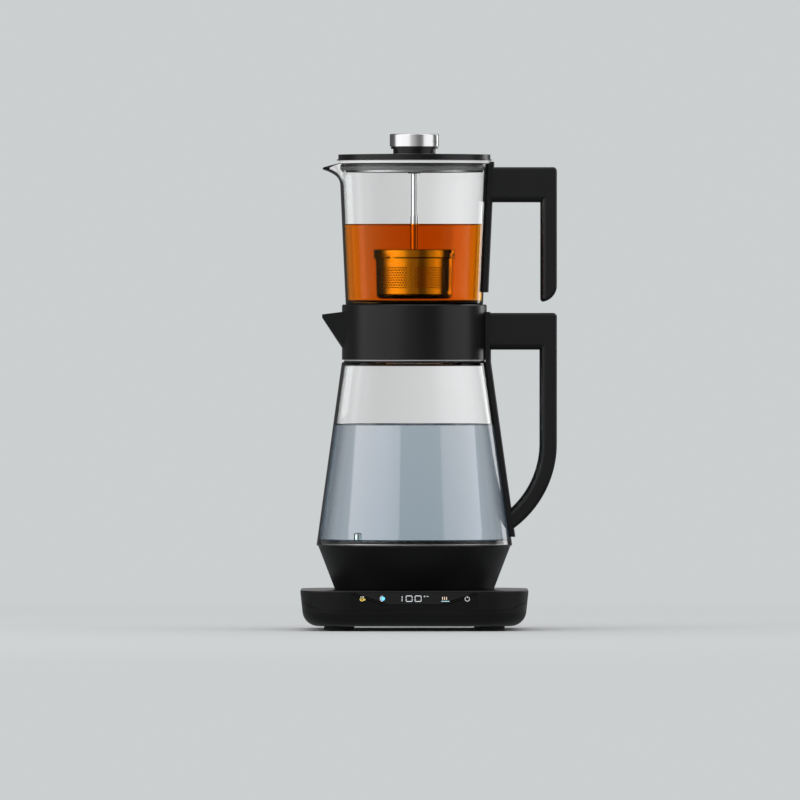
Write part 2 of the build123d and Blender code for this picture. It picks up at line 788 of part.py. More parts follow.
def beak_section(distance, top, foot, top_half, foot_half, corner):
    """One cross section of the beak at x = -distance: wide above, narrow and rounded below."""
    with BuildSketch(Plane(origin=(-distance, 0, 0), x_dir=(0, 1, 0), z_dir=(1, 0, 0))) as section:
        with BuildLine():
            Polyline((-top_half, top), (top_half, top), (foot_half, foot), (-foot_half, foot), close=True)
        make_face()
        fillet(section.vertices().group_by(Axis.Y)[0], corner)
    return section.sketch.face()


def beak(inset):
    """The beak's solid form, its sides and underside drawn in by inset and its top raised by as much."""
    root = (
        toward_root(spout_z, spout_tip_z) + inset,
        toward_root(spout_foot_z, spout_tip_z - spout_tip_height) + 1.5 * inset,
        toward_root(spout_half, spout_tip_half) - inset,
        toward_root(spout_foot_half, spout_tip_foot_half) - inset / 2,
    )
    tip = (
        spout_tip_z + inset,
        spout_tip_z - spout_tip_height + inset / 2,
        spout_tip_half - inset / 2,
        spout_tip_foot_half - inset / 4,
    )
    with BuildPart() as form:
        root_section = beak_section(spout_root_x, *root, spout_round)
        tip_section = beak_section(spout_reach - inset / 4, *tip, spout_tip_round - inset / 8)
        loft([root_section, tip_section], ruled=True)
    return form.part


# Collar: clamps the neck, carries the spout and the handle, and is the teapot's seat.
pot_seat_under = pot_foot_z - pot_seat_thickness
ledge_z = neck_top_z + clamp_thickness
kettle_bar_foot = kettle_bar_z - kettle_bar_height
kettle_screw_heights = (kettle_bar_z - handle_screw_margin, kettle_bar_foot + handle_screw_margin)
with BuildPart() as spout_window:
    add(beak(spout_wall))
    with Locations((0, 0, ledge_z)):
        Box(4 * collar_radius, 4 * collar_radius, spout_z - ledge_z, align=rising, mode=Mode.INTERSECT)
with BuildPart() as collar:
    wall = half_section(
        (collar_inner, collar_base_z),
        (collar_radius, collar_base_z),
        (collar_radius, collar_top_z - collar_chamfer),
        (collar_radius - collar_chamfer, collar_top_z),
        (pot_foot_radius + lift_gap, collar_top_z),
        (pot_foot_radius + lift_gap, pot_foot_z),
        (pot_foot_radius - pot_seat_width, pot_foot_z),
        (pot_foot_radius - pot_seat_width, pot_seat_under),
        (collar_inner, pot_seat_under),
        (collar_inner, ledge_z),
        (collar_inner - clamp_ledge, ledge_z),
        (collar_inner - clamp_ledge, neck_top_z),
        (collar_inner, neck_top_z),
    )
    revolve(wall, axis=Axis.Z)
    add(spout_window.part, mode=Mode.SUBTRACT)
    hole_radius = handle_screw_radius + seat_gap
    holes = rods_along_x(hole_radius, collar_inner / 2, collar_radius, kettle_screw_heights)
    add(holes, mode=Mode.SUBTRACT)
finish(collar, "collar")

with BuildPart() as kettle_spout:
    add(beak(0))
    Cylinder(collar_radius, 3 * shoulder_z, mode=Mode.SUBTRACT)
    add(beak(spout_wall), mode=Mode.SUBTRACT)
finish(kettle_spout, "kettle_spout")

# Neck seal: a silicone ring between neck and collar, with a flange on the glass's shoulder.
with BuildPart() as neck_seal:
    ring = half_section(
        (neck_radius + glue_gap, shoulder_z),
        (collar_inner + collar_wall / 2, shoulder_z),
        (collar_inner + collar_wall / 2, collar_base_z),
        (collar_inner - seat_gap, collar_base_z),
        (collar_inner - seat_gap, neck_top_z),
        (neck_radius + glue_gap, neck_top_z),
    )
    revolve(ring, axis=Axis.Z)
finish(neck_seal, "neck_seal")

# Handle strap: follows the collar and the glass down the handle side.
strap_foot_z = kettle_base_z + strap_lift
strap_top_z = collar_top_z - strap_drop
foot_screw_z = kettle_base_z + foot_screw_lift
strap_inner_top = collar_radius + glue_gap
strap_inner_foot = kettle_cone(strap_foot_z) + glue_gap + strap_inner_top - kettle_cone(shoulder_z)
strap_outer_top = strap_inner_top + strap_thickness
strap_outer_foot = strap_inner_foot + strap_thickness
strap_lean = (strap_inner_foot - strap_inner_top) / (strap_foot_z - shoulder_z)
foot_screw_x = strap_inner_foot + (foot_screw_lift - strap_lift) * strap_lean
foot_screw_seat = foot_screw_x + strap_thickness / 2
with BuildPart() as kettle_strap:
    strip = half_section(
        (strap_inner_foot, strap_foot_z),
        (strap_outer_foot, strap_foot_z),
        (strap_outer_top, shoulder_z),
        (strap_outer_top, strap_top_z),
        (strap_inner_top, strap_top_z),
        (strap_inner_top, shoulder_z),
    )
    revolve(strip, axis=Axis.Z)
    with BuildSketch(Plane.YZ):
        Rectangle(strap_width, 3 * strap_top_z)
    extrude(amount=2 * kettle_base_radius, mode=Mode.INTERSECT)
    fillet(kettle_strap.edges().group_by(Axis.Z)[-1].sort_by(Axis.X)[-1], strap_end_round)
    through = (*kettle_screw_heights, foot_screw_z)
    holes = rods_along_x(handle_screw_radius + seat_gap, collar_inner, 2 * handle_reach, through)
    add(holes, mode=Mode.SUBTRACT)
    head = rods_along_x(handle_screw_head_radius + seat_gap, collar_inner, foot_screw_seat, (foot_screw_z,))
    add(head, mode=Mode.SUBTRACT)
finish(kettle_strap, "kettle_strap")


def beside(edge, lines):
    """Whether a handle's edge runs in either side face along one of the lines of the side view."""
    middle = edge @ 0.5
    place = Vertex(middle.X, middle.Z, 0)
    in_face = abs(middle.Y) > handle_width / 2 - glue_gap
    return in_face and min(line.distance_to(place) for line in lines) < handle_corner / 2


def round_handle(handle, hand_lines, outer_lines):
    """Rounds a handle's long edges, found by lines of its side view, most towards the hand."""
    for lines, radius in ((hand_lines, handle_inner_round), (outer_lines, handle_outer_round)):
        fillet(handle.edges().filter_by(Plane.XZ).filter_by(lambda e: beside(e, lines)), radius)


# Kettle handle: a bar from the collar and a grip that bends back and ends on the strap.
bend_z = kettle_base_z + grip_bend_height
grip_x = handle_reach - grip_thickness
with BuildPart() as kettle_handle:
    with BuildSketch(Plane.XZ) as kettle_handle_side:
        with BuildLine():
            hand_bend = JernArc((grip_x, bend_z), (0, -1), grip_bend_radius - grip_thickness, -90)
            hand_line = Polyline((grip_x, bend_z), (grip_x, kettle_bar_foot), (0, kettle_bar_foot))
            outer_line = Polyline((0, kettle_bar_z), (handle_reach, kettle_bar_z), (handle_reach, bend_z))
            outer_bend = JernArc((handle_reach, bend_z), (0, -1), grip_bend_radius, -90)
            Line(hand_line @ 1, outer_line @ 0)
            Line(outer_bend @ 1, hand_bend @ 1)
        make_face()
        corners = kettle_handle_side.vertices().sort_by(Axis.X)
        fillet(corners.filter_by(lambda v: v.Y > kettle_bar_z - glue_gap)[-1], handle_corner)
        fillet(corners.filter_by(lambda v: abs(v.Y - kettle_bar_foot) < glue_gap)[-1], handle_inner_corner)
    extrude(amount=handle_width / 2, both=True)
    round_handle(kettle_handle, (hand_bend, hand_line), (outer_bend, outer_line))
    inside_strap = half_section(
        (0, 0),
        (strap_outer_foot, 0),
        (strap_outer_foot, strap_foot_z),
        (strap_outer_top, shoulder_z),
        (strap_outer_top, 2 * shoulder_z),
        (0, 2 * shoulder_z),
    )
    revolve(inside_strap, axis=Axis.Z, mode=Mode.SUBTRACT)
    bar_bite = strap_outer_top + handle_screw_bite
    add(rods_along_x(handle_screw_radius, collar_inner, bar_bite, kettle_screw_heights), mode=Mode.SUBTRACT)
    foot_bite = foot_screw_seat + handle_screw_bite / 2
    add(rods_along_x(handle_screw_radius, foot_screw_seat, foot_bite, (foot_screw_z,)), mode=Mode.SUBTRACT)
finish(kettle_handle, "kettle_handle")

collar_screw_seat = collar_inner - seat_gap
with BuildPart() as kettle_handle_screws:
    head_x = collar_screw_seat - handle_screw_head_height
    add(rods_along_x(handle_screw_head_radius, head_x, collar_screw_seat, kettle_screw_heights))
    add(rods_along_x(handle_screw_radius, collar_screw_seat, bar_bite, kettle_screw_heights))
    head_x = foot_screw_seat - handle_screw_head_height / 2
    add(rods_along_x(handle_screw_head_radius, head_x, foot_screw_seat, (foot_screw_z,)))
    add(rods_along_x(handle_screw_radius, foot_screw_seat, foot_bite, (foot_screw_z,)))
finish(kettle_handle_screws, "kettle_handle_screws")

# ================================================================ teapot
pot_floor_z = pot_foot_z + pot_floor


def lip_section(distance, half, depth, inset):
    """One cross section of the pouring lip at x = -distance: half an ellipse that hangs from the rim."""
    with BuildSketch(Plane(origin=(-distance, 0, 0), x_dir=(0, 1, 0), z_dir=(1, 0, 0))) as section:
        with Locations((0, rim_z + lip_rim_drop)):
            Ellipse(half - inset, depth + lip_rim_drop - inset)
            upper = (Align.CENTER, Align.MIN)
            Rectangle(2 * half, 2 * (depth + lip_rim_drop), align=upper, mode=Mode.SUBTRACT)
    return section.sketch.face()


def pouring_lip(inset):
    """The lip's solid form drawn in by inset, from inside the wall to its tip."""
    root_back, root_half, root_depth = lip_root
    throat_out, throat_half, throat_depth = lip_throat
    tip_half, tip_depth = lip_tip
    with BuildPart() as form:
        sections = [
            lip_section(pot_rim_radius - root_back, root_half, root_depth, inset),
            lip_section(pot_rim_radius + throat_out - inset / 2, throat_half, throat_depth, inset),
            lip_section(lip_reach - inset / 2, tip_half, tip_depth, inset),
        ]
        loft(sections)
    return form.part


# Teapot glass: a straight-sided beaker with a drawn pouring lip.
with BuildPart() as teapot_glass:
    with BuildSketch(Plane.XZ) as beaker:
        with BuildLine():
            foot_corner, rim_corner = (pot_foot_radius, pot_foot_z), (pot_rim_radius, rim_z)
            Polyline((0, pot_foot_z), foot_corner, rim_corner, (0, rim_z), close=True)
        make_face()
        fillet(beaker.vertices().group_by(Axis.Y)[0].sort_by(Axis.X)[-1], pot_heel)
    revolve(axis=Axis.Z)
    add(pouring_lip(0))
    hollow = half_section(
        (0, pot_floor_z),
        (pot_cone(pot_floor_z) - pot_wall, pot_floor_z),
        (pot_cone(rim_z + pot_height) - pot_wall, rim_z + pot_height),
        (0, rim_z + pot_height),
    )
    revolve(hollow, axis=Axis.Z, mode=Mode.SUBTRACT)
    add(pouring_lip(lip_wall), mode=Mode.SUBTRACT)
    with BuildSketch(Plane.XZ):
        with BuildLine():
            Polyline(
                (2 * pot_rim_radius, rim_z),
                (-pot_rim_radius, rim_z),
                (-lip_reach, rim_z - lip_rim_drop),
                (-2 * lip_reach, rim_z - lip_rim_drop),
                (-2 * lip_reach, 2 * rim_z),
                (2 * pot_rim_radius, 2 * rim_z),
                close=True,
            )
        make_face()
    extrude(amount=pot_rim_radius, both=True, mode=Mode.SUBTRACT)
finish(teapot_glass, "teapot_glass")

# Teapot strap: runs down the glass on the handle side and rises a little above the rim.
pot_strap_foot_z = pot_foot_z + pot_strap_lift
pot_strap_top_z = rim_z + pot_strap_rise
pot_bar_foot = pot_bar_z - pot_bar_height
pot_screw_heights = (pot_bar_z - handle_screw_margin, pot_bar_foot + handle_screw_margin)
pot_screw_seat = pot_cone(pot_bar_foot) + glue_gap + pot_strap_thickness * 0.6
pot_strap_foot = pot_cone(pot_strap_foot_z) + glue_gap
pot_strap_rim = pot_cone(rim_z) + glue_gap
with BuildPart() as teapot_strap:
    strip = half_section(
        (pot_strap_foot, pot_strap_foot_z),
        (pot_strap_foot + pot_strap_thickness, pot_strap_foot_z),
        (pot_strap_rim + pot_strap_thickness, rim_z),
        (pot_strap_rim + pot_strap_thickness, pot_strap_top_z),
        (lid_radius + lift_gap, pot_strap_top_z),
        (lid_radius + lift_gap, rim_z),
        (pot_strap_rim, rim_z),
    )
    revolve(strip, axis=Axis.Z)
    with BuildSketch(Plane.YZ):
        Rectangle(pot_strap_width, 3 * rim_z)
    extrude(amount=2 * pot_rim_radius, mode=Mode.INTERSECT)
    fillet(teapot_strap.edges().group_by(Axis.Z)[-1].sort_by(Axis.X)[-1], pot_strap_end_round)
    inner_x = pot_foot_radius / 2
    through = rods_along_x(handle_screw_radius + seat_gap, inner_x, 2 * handle_reach, pot_screw_heights)
    add(through, mode=Mode.SUBTRACT)
    head = rods_along_x(handle_screw_head_radius + seat_gap, inner_x, pot_screw_seat, pot_screw_heights)
    add(head, mode=Mode.SUBTRACT)
finish(teapot_strap, "teapot_strap")

# Teapot handle: a bar and a grip that ends free, with a quarter-round heel.
pot_grip_x = handle_reach - pot_grip_thickness
pot_grip_foot = pot_bar_foot - pot_grip_length
pot_bite = pot_screw_seat + handle_screw_bite
with BuildPart() as teapot_handle:
    with BuildSketch(Plane.XZ) as pot_handle_side:
        with BuildLine():
            hand_line = Polyline((0, pot_bar_foot), (pot_grip_x, pot_bar_foot), (pot_grip_x, pot_grip_foot))
            outer_line = Polyline(
                (0, pot_bar_z),
                (handle_reach, pot_bar_z),
                (handle_reach, pot_grip_foot + pot_grip_thickness),
            )
            heel = JernArc(outer_line @ 1, (0, -1), pot_grip_thickness, -90)
            Line(outer_line @ 0, hand_line @ 0)
        make_face()
        corners = pot_handle_side.vertices().sort_by(Axis.X)
        fillet(corners.filter_by(lambda v: v.Y > pot_bar_z - glue_gap)[-1], handle_corner)
        fillet(corners.filter_by(lambda v: abs(v.Y - pot_bar_foot) < glue_gap)[-1], handle_inner_corner)
    extrude(amount=handle_width / 2, both=True)
    round_handle(teapot_handle, (hand_line,), (outer_line, heel))
    inside_strap = half_section(
        (0, 0),
        (pot_strap_foot + pot_strap_thickness, 0),
        (pot_strap_foot + pot_strap_thickness, pot_strap_foot_z),
        (pot_strap_rim + pot_strap_thickness, rim_z),
        (pot_strap_rim + pot_strap_thickness, 2 * rim_z),
        (0, 2 * rim_z),
    )
    revolve(inside_strap, axis=Axis.Z, mode=Mode.SUBTRACT)
    add(rods_along_x(handle_screw_radius, pot_screw_seat, pot_bite, pot_screw_heights), mode=Mode.SUBTRACT)
finish(teapot_handle, "teapot_handle")

with BuildPart() as teapot_handle_screws:
    head_x = pot_screw_seat - handle_screw_head_height / 2
    add(rods_along_x(handle_screw_head_radius, head_x, pot_screw_seat, pot_screw_heights))
    add(rods_along_x(handle_screw_radius, pot_screw_seat, pot_bite, pot_screw_heights))
finish(teapot_handle_screws, "teapot_handle_screws")

# ================================================================ lid
lid_top_z = lid_z + lid_height
lid_under_z = lid_top_z - lid_wall
seal_foot_z = rim_z - seal_sleeve_depth
seal_outer = pot_cone(seal_foot_z) - pot_wall - lift_gap
plug_cup_radius = seal_outer - seal_sleeve - seat_gap
cup_flange_radius = lid_radius - lid_wall - seat_gap

# Lid: a shallow cap with a thin lip, domed a little.
with BuildPart() as lid:
    with BuildSketch(Plane.XZ):
        with BuildLine():
            edge_z = lid_top_z - lid_dome
            ThreePointArc((lid_radius, edge_z), (lid_radius / 2, lid_top_z - lid_dome / 4), (0, lid_top_z))
            Polyline(
                (0, lid_top_z),
                (0, lid_under_z),
                (lid_radius - lid_wall, lid_under_z),
                (lid_radius - lid_wall, lid_z),
                (lid_radius + lid_lip, lid_z),
                (lid_radius + lid_lip, lid_z + lid_lip_height),
                (lid_radius, lid_z + lid_lip_height),
                (lid_radius, edge_z),
            )
        make_face()
    revolve(axis=Axis.Z)
    with Locations((0, 0, lid_under_z)):
        Cylinder(stud_radius + seat_gap, 2 * lid_wall, align=rising, mode=Mode.SUBTRACT)
finish(lid, "lid")

# Lid plug: a pressed cup under the lid that drops into the teapot's mouth.
with BuildPart() as lid_plug:
    cup = half_section(
        (0, rod_top_z),
        (plug_cup_radius, rod_top_z),
        (plug_cup_radius, lid_z),
        (cup_flange_radius, lid_z),
        (cup_flange_radius, lid_z + plug_cup_wall),
        (plug_cup_radius - plug_cup_wall, lid_z + plug_cup_wall),
        (plug_cup_radius - plug_cup_wall, rod_top_z + plug_cup_wall),
        (0, rod_top_z + plug_cup_wall),
    )
    revolve(cup, axis=Axis.Z)
    with Locations((0, 0, rod_top_z)):
        Cylinder(stud_radius + seat_gap, plug_cup_wall, align=rising, mode=Mode.SUBTRACT)
finish(lid_plug, "lid_plug")

# Lid seal: a silicone ring round the plug, with a flange between lid and rim.
with BuildPart() as lid_seal:
    ring = half_section(
        (plug_cup_radius + seat_gap, seal_foot_z),
        (seal_outer, seal_foot_z),
        (seal_outer, rim_z),
        (lid_radius, rim_z),
        (lid_radius, lid_z),
        (plug_cup_radius + seat_gap, lid_z),
    )
    revolve(ring, axis=Axis.Z)
finish(lid_seal, "lid_seal")

# Knob: a plastic core with a neck and flange, and a brushed steel cap over it.
knob_flange_z = lid_top_z + knob_neck_height
knob_cap_z = knob_flange_z + knob_flange_height
core_top_z = knob_cap_z + knob_height - knob_skin
core_radius = knob_radius - knob_skin - seat_gap
with BuildPart() as knob_core:
    core = half_section(
        (0, lid_top_z),
        (knob_neck_radius, lid_top_z),
        (knob_neck_radius, knob_flange_z),
        (knob_neck_radius + knob_flange, knob_flange_z),
        (knob_neck_radius + knob_flange, knob_cap_z),
        (core_radius, knob_cap_z),
        (core_radius, core_top_z),
        (0, core_top_z),
    )
    revolve(core, axis=Axis.Z)
    with Locations((0, 0, lid_top_z)):
        Cylinder(nut_radius + seat_gap, nut_height, align=rising, mode=Mode.SUBTRACT)
finish(knob_core, "knob_core")

with BuildPart() as knob_cap:
    cap = half_section(
        (knob_radius - knob_skin, knob_cap_z),
        (knob_radius, knob_cap_z),
        (knob_radius, knob_cap_z + knob_height),
        (0, knob_cap_z + knob_height),
        (0, core_top_z),
        (knob_radius - knob_skin, core_top_z),
    )
    revolve(cap, axis=Axis.Z)
    fillet(knob_cap.edges().group_by(Axis.Z)[-1], knob_round)
finish(knob_cap, "knob_cap")

with BuildPart() as knob_nut:
    revolve(band(stud_radius, nut_radius, lid_top_z, lid_top_z + nut_height), axis=Axis.Z)
finish(knob_nut, "knob_nut")

# Rod: screws up through plug and lid into the knob's nut, and holds the infuser on a cross pin.
cross_pin_z = sleeve_top_z - cross_pin_drop
with BuildPart() as infuser_rod:
    with Locations((0, 0, rod_top_z)):
        Cylinder(rod_flange_radius, rod_flange_height, align=hanging)
        Cylinder(rod_radius, rod_top_z - cross_pin_z + rod_tail, align=hanging)
        Cylinder(stud_radius, lid_top_z + nut_height - rod_top_z, align=rising)
    with BuildSketch(Plane.XZ):
        with Locations((0, cross_pin_z)):
            Circle(cross_pin_radius)
    extrude(amount=2 * rod_radius, both=True, mode=Mode.SUBTRACT)
finish(infuser_rod, "infuser_rod")

with BuildPart() as cross_pin:
    with BuildSketch(Plane.XZ):
        with Locations((0, cross_pin_z)):
            Circle(cross_pin_radius)
    extrude(amount=sleeve_radius + turn_gap, both=True)
finish(cross_pin, "cross_pin")

# ================================================================ infuser
# Sleeve: a tube on the rod, with two L-shaped bayonet slots for the cross pin.
sleeve_foot_z = cap_z - cap_wall
with BuildPart() as infuser_sleeve:
    revolve(band(rod_radius + turn_gap, sleeve_radius, sleeve_foot_z, sleeve_top_z), axis=Axis.Z)
    slot_low, slot_high = cross_pin_z - sleeve_slot_width / 2, cross_pin_z + sleeve_slot_width / 2
    across = (rod_radius, sleeve_radius + turn_gap)
    for pin_angle in (90, 270):
        start = pin_angle - rod_twist - sleeve_slot_margin
        run = sector(*across, slot_low, slot_high, start, rod_twist + 2 * sleeve_slot_margin)
        entry = sector(*across, slot_low, sleeve_top_z, start, 2 * sleeve_slot_margin)
        add(run, mode=Mode.SUBTRACT)
        add(entry, mode=Mode.SUBTRACT)
finish(infuser_sleeve, "infuser_sleeve")

# Cap: a pressed lid on the sleeve, with a rolled lip and bayonet slots in its skirt for the basket's pegs.
cap_foot_z = cap_z - cap_height
basket_rim_z = basket_z + basket_depth
peg_z = basket_rim_z - peg_drop
peg_sweep = degrees(peg_width / basket_radius)
peg_slot = 2 * peg_sweep
peg_angles = [peg_start + n * 360 / peg_count for n in range(peg_count)]
with BuildPart() as infuser_cap:
    pressing = half_section(
        (sleeve_radius, cap_z),
        (cap_radius, cap_z),
        (cap_radius, cap_foot_z + cap_lip_height),
        (cap_radius + cap_lip, cap_foot_z + cap_lip_height),
        (cap_radius + cap_lip, cap_foot_z),
        (cap_radius - cap_wall, cap_foot_z),
        (cap_radius - cap_wall, sleeve_foot_z),
        (sleeve_radius, sleeve_foot_z),
    )
    revolve(pressing, axis=Axis.Z)
    slot_low, slot_high = peg_z - peg_height / 2 - peg_slot_gap, peg_z + peg_height / 2 + peg_slot_gap
    across = (basket_radius, cap_radius + 2 * cap_lip)
    for angle in peg_angles:
        start = angle - peg_slot / 2
        add(sector(*across, slot_low, slot_high, start, basket_twist + peg_slot), mode=Mode.SUBTRACT)
        add(sector(*across, cap_foot_z, slot_high, start + basket_twist, peg_slot), mode=Mode.SUBTRACT)
finish(infuser_cap, "infuser_cap")

# Basket: a drawn steel cup with rows of perforations and three pegs under its rim.
perforation_pitch = (basket_depth - perforation_lift - perforation_drop) / (perforation_rows - 1)
perforation_places = [
    outward(
        (n + row % 2 / 2) * 360 / perforations_per_row,
        basket_foot_radius - 2 * basket_wall,
        basket_z + perforation_lift + row * perforation_pitch,
    )
    for row in range(perforation_rows)
    for n in range(perforations_per_row)
]
with BuildPart() as infuser_basket:
    with BuildSketch(Plane.XZ) as cup:
        with BuildLine():
            Polyline(
                (0, basket_z),
                (basket_foot_radius, basket_z),
                (basket_radius, basket_rim_z),
                (0, basket_rim_z),
                close=True,
            )
        make_face()
        fillet(cup.vertices().group_by(Axis.Y)[0].sort_by(Axis.X)[-1], basket_round)
    revolve(axis=Axis.Z)
    offset(openings=infuser_basket.faces().sort_by(Axis.Z)[-1], amount=-basket_wall)
    with BuildSketch(*perforation_places):
        RegularPolygon(perforation_radius, 6)
    extrude(amount=2 * basket_wall + basket_taper + basket_clearance, mode=Mode.SUBTRACT)
    for angle in peg_angles:
        across = (basket_radius - basket_wall, cap_radius - seat_gap)
        tall = (peg_z - peg_height / 2, peg_z + peg_height / 2)
        add(sector(*across, *tall, angle - peg_sweep / 2, peg_sweep))
finish(infuser_basket, "infuser_basket")
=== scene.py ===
"""Automatic tea maker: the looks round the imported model. Metres, +Z up, -Y towards the user."""

from functools import partial
from math import acos, cos, pi, radians, sin, sqrt, tan

import bmesh
import bpy
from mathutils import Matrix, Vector


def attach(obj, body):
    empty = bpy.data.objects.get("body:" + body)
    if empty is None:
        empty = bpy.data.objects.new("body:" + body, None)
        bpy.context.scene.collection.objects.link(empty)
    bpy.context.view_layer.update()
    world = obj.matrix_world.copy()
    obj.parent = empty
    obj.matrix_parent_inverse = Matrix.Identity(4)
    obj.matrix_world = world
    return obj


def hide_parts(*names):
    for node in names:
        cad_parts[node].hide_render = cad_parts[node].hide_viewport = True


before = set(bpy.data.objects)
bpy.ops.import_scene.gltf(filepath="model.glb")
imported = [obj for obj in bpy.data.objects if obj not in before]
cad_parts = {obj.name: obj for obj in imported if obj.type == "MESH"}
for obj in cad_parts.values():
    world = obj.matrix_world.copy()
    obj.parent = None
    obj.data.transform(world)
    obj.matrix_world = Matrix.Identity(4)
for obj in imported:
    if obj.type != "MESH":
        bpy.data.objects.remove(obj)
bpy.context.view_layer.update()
mm = 0.001


# ======== studio
# The set that the tea maker stands in: a long lens all but level with the table, a pale floor that
# runs out into a pale background, a wide softbox on the left, a narrow one on the right and a flat
# one above. Glass and metal see bands of light and dark round them, as they do between flags.
view_width, view_lens, view_sensor = 0.608, 800.0, 36.0
view_elevation = radians(0.3)
view_middle = Vector((-0.0109, 0, 0.1744))
view_distance = view_width * view_lens / view_sensor

camera_data = bpy.data.cameras.new("camera")
camera_data.lens = view_lens
camera_data.sensor_width = view_sensor
camera_data.clip_end = 100
camera = bpy.data.objects.new("camera", camera_data)
camera.location = view_middle + view_distance * Vector((0, -cos(view_elevation), sin(view_elevation)))
camera.rotation_euler = (pi / 2 - view_elevation, 0, 0)
bpy.context.scene.collection.objects.link(camera)
bpy.context.scene.camera = camera
bpy.context.scene.view_settings.view_transform = "Standard"


def feed(tree, node, **inputs):
    """Links outputs to a node's sockets, or writes plain values on them, by name with _ for a space."""
    for key, value in inputs.items():
        join(tree, value, node.inputs[key.replace("_", " ")])


def put(tree, kind, settings=None, **inputs):
    """A new node with its own settings and its inputs."""
    node = tree.nodes.new(kind)
    for key, value in (settings or {}).items():
        setattr(node, key, value)
    feed(tree, node, **inputs)
    return node


def made(tree, kind, settings=None, **inputs):
    """The first output of a new node."""
    return put(tree, kind, settings, **inputs).outputs[0]


def join(tree, value, socket):
    """Links an output to a socket, or writes a plain value on it."""
    if isinstance(value, bpy.types.NodeSocket):
        tree.links.new(value, socket)
    elif isinstance(value, tuple) and socket.type == "RGBA" and len(value) == 3:
        socket.default_value = (*value, 1)
    else:
        socket.default_value = value


def calc(tree, operation, *values, clamp=False):
    """The output of a Math node."""
    node = put(tree, "ShaderNodeMath", {"operation": operation, "use_clamp": clamp})
    for value, socket in zip(values, node.inputs):
        join(tree, value, socket)
    return node.outputs[0]


def blended(tree, factor, a, b, blend="MIX"):
    """The output of a colour mix, from a at 0 to b at 1."""
    node = put(tree, "ShaderNodeMix", {"data_type": "RGBA", "blend_type": blend})
    join(tree, factor, node.inputs["Factor"])
    colour_inputs = [s for s in node.inputs if s.type == "RGBA"]
    join(tree, a, colour_inputs[0])
    join(tree, b, colour_inputs[1])
    return next(s for s in node.outputs if s.type == "RGBA")


def ramp(tree, factor, *stops):
    """The colour of a ramp with stops of (place, grey) or (place, colour)."""
    node = put(tree, "ShaderNodeValToRGB", Fac=factor)
    elements = node.color_ramp.elements
    while len(elements) < len(stops):
        elements.new(1.0)
    for element, (place, tone) in zip(elements, stops):
        element.position = place
        element.color = (*tone, 1) if isinstance(tone, tuple) else (tone, tone, tone, 1)
    return node.outputs["Color"]


def position(tree, space="Object"):
    """The X, Y and Z outputs of a place on a surface, or of a direction in the world."""
    place = put(tree, "ShaderNodeTexCoord").outputs[space]
    return put(tree, "ShaderNodeSeparateXYZ", Vector=place).outputs


pale = (0.60, 0.625, 0.63)
room_light = 0.70

world = bpy.data.worlds.new("studio")
world.use_nodes = True
bpy.context.scene.world = world
sky = world.node_tree
sky.nodes.clear()
sky_calc, sky_blend, sky_ramp = (partial(maker, sky) for maker in (calc, blended, ramp))
rays = put(sky, "ShaderNodeLightPath").outputs
facing = position(sky, "Generated")

# Through the vessels: bands from left to right, one set for empty glass and one for liquid.
aside = sky_calc("ARCTANGENT", sky_calc("DIVIDE", facing["X"], facing["Y"]))
glass_window = radians(12)  # as far as glass and liquids here turn a straight look, side to side
turned_by = sky_calc("MULTIPLY_ADD", aside, 1 / glass_window, 0.5, clamp=True)
through_empty = sky_ramp(
    turned_by, (0, 0.80), (0.25, 0.74), (0.32, 0.63), (0.417, 0.585), (0.475, 0.61), (0.50, 0.63),
    (0.538, 0.66), (0.555, 0.70), (0.575, 0.74), (0.646, 0.78), (0.717, 0.80), (0.79, 0.83), (1, 0.86),
)
dim_side = (0.52, 0.525, 0.54)
through_liquid = sky_ramp(
    turned_by, (0, dim_side), (0.198, dim_side), (0.210, (0.84, 0.80, 0.82)), (0.275, (0.79, 0.75, 0.745)),
    (0.392, (0.76, 0.715, 0.71)), (0.402, 0.60), (0.555, 0.60), (0.561, (0.78, 0.745, 0.74)),
    (0.579, (0.80, 0.76, 0.75)), (0.617, (0.85, 0.80, 0.80)), (0.783, (0.845, 0.793, 0.789)),
    (0.80, dim_side), (1, dim_side),
)
glass_surfaces = 5.0  # an empty vessel's walls count four surfaces on the way through, a full one's more
past_liquid = sky_calc("GREATER_THAN", rays["Transmission Depth"], glass_surfaces)
seen_in_glass = sky_blend(past_liquid, through_empty, through_liquid)

# In gloss: all round, from behind by the left, the front and the right to behind.
toward_front = sky_calc("MULTIPLY", facing["Y"], -1.0)
compass = sky_calc("MULTIPLY_ADD", sky_calc("ARCTAN2", facing["X"], toward_front), 0.5 / pi, 0.5)
seen_in_gloss = sky_ramp(
    compass, (0, 0.62), (0.008, 0.62), (0.02, 0.10), (0.214, 0.12), (0.233, 1.6), (0.43, 1.5), (0.456, 0.85),
    (0.49, 0.6), (0.528, 0.42), (0.542, 0.24), (0.611, 0.24), (0.633, 1.4), (0.767, 1.5), (0.786, 0.12),
    (0.864, 0.12), (0.869, 2.6), (0.90, 2.6), (0.905, 0.10), (0.98, 0.10), (0.992, 0.62), (1, 0.62),
)
overhead = sky_calc("SUBTRACT", facing["Z"], 0.5, clamp=True)
seen_in_gloss = sky_blend(1.0, seen_in_gloss, overhead, "ADD")

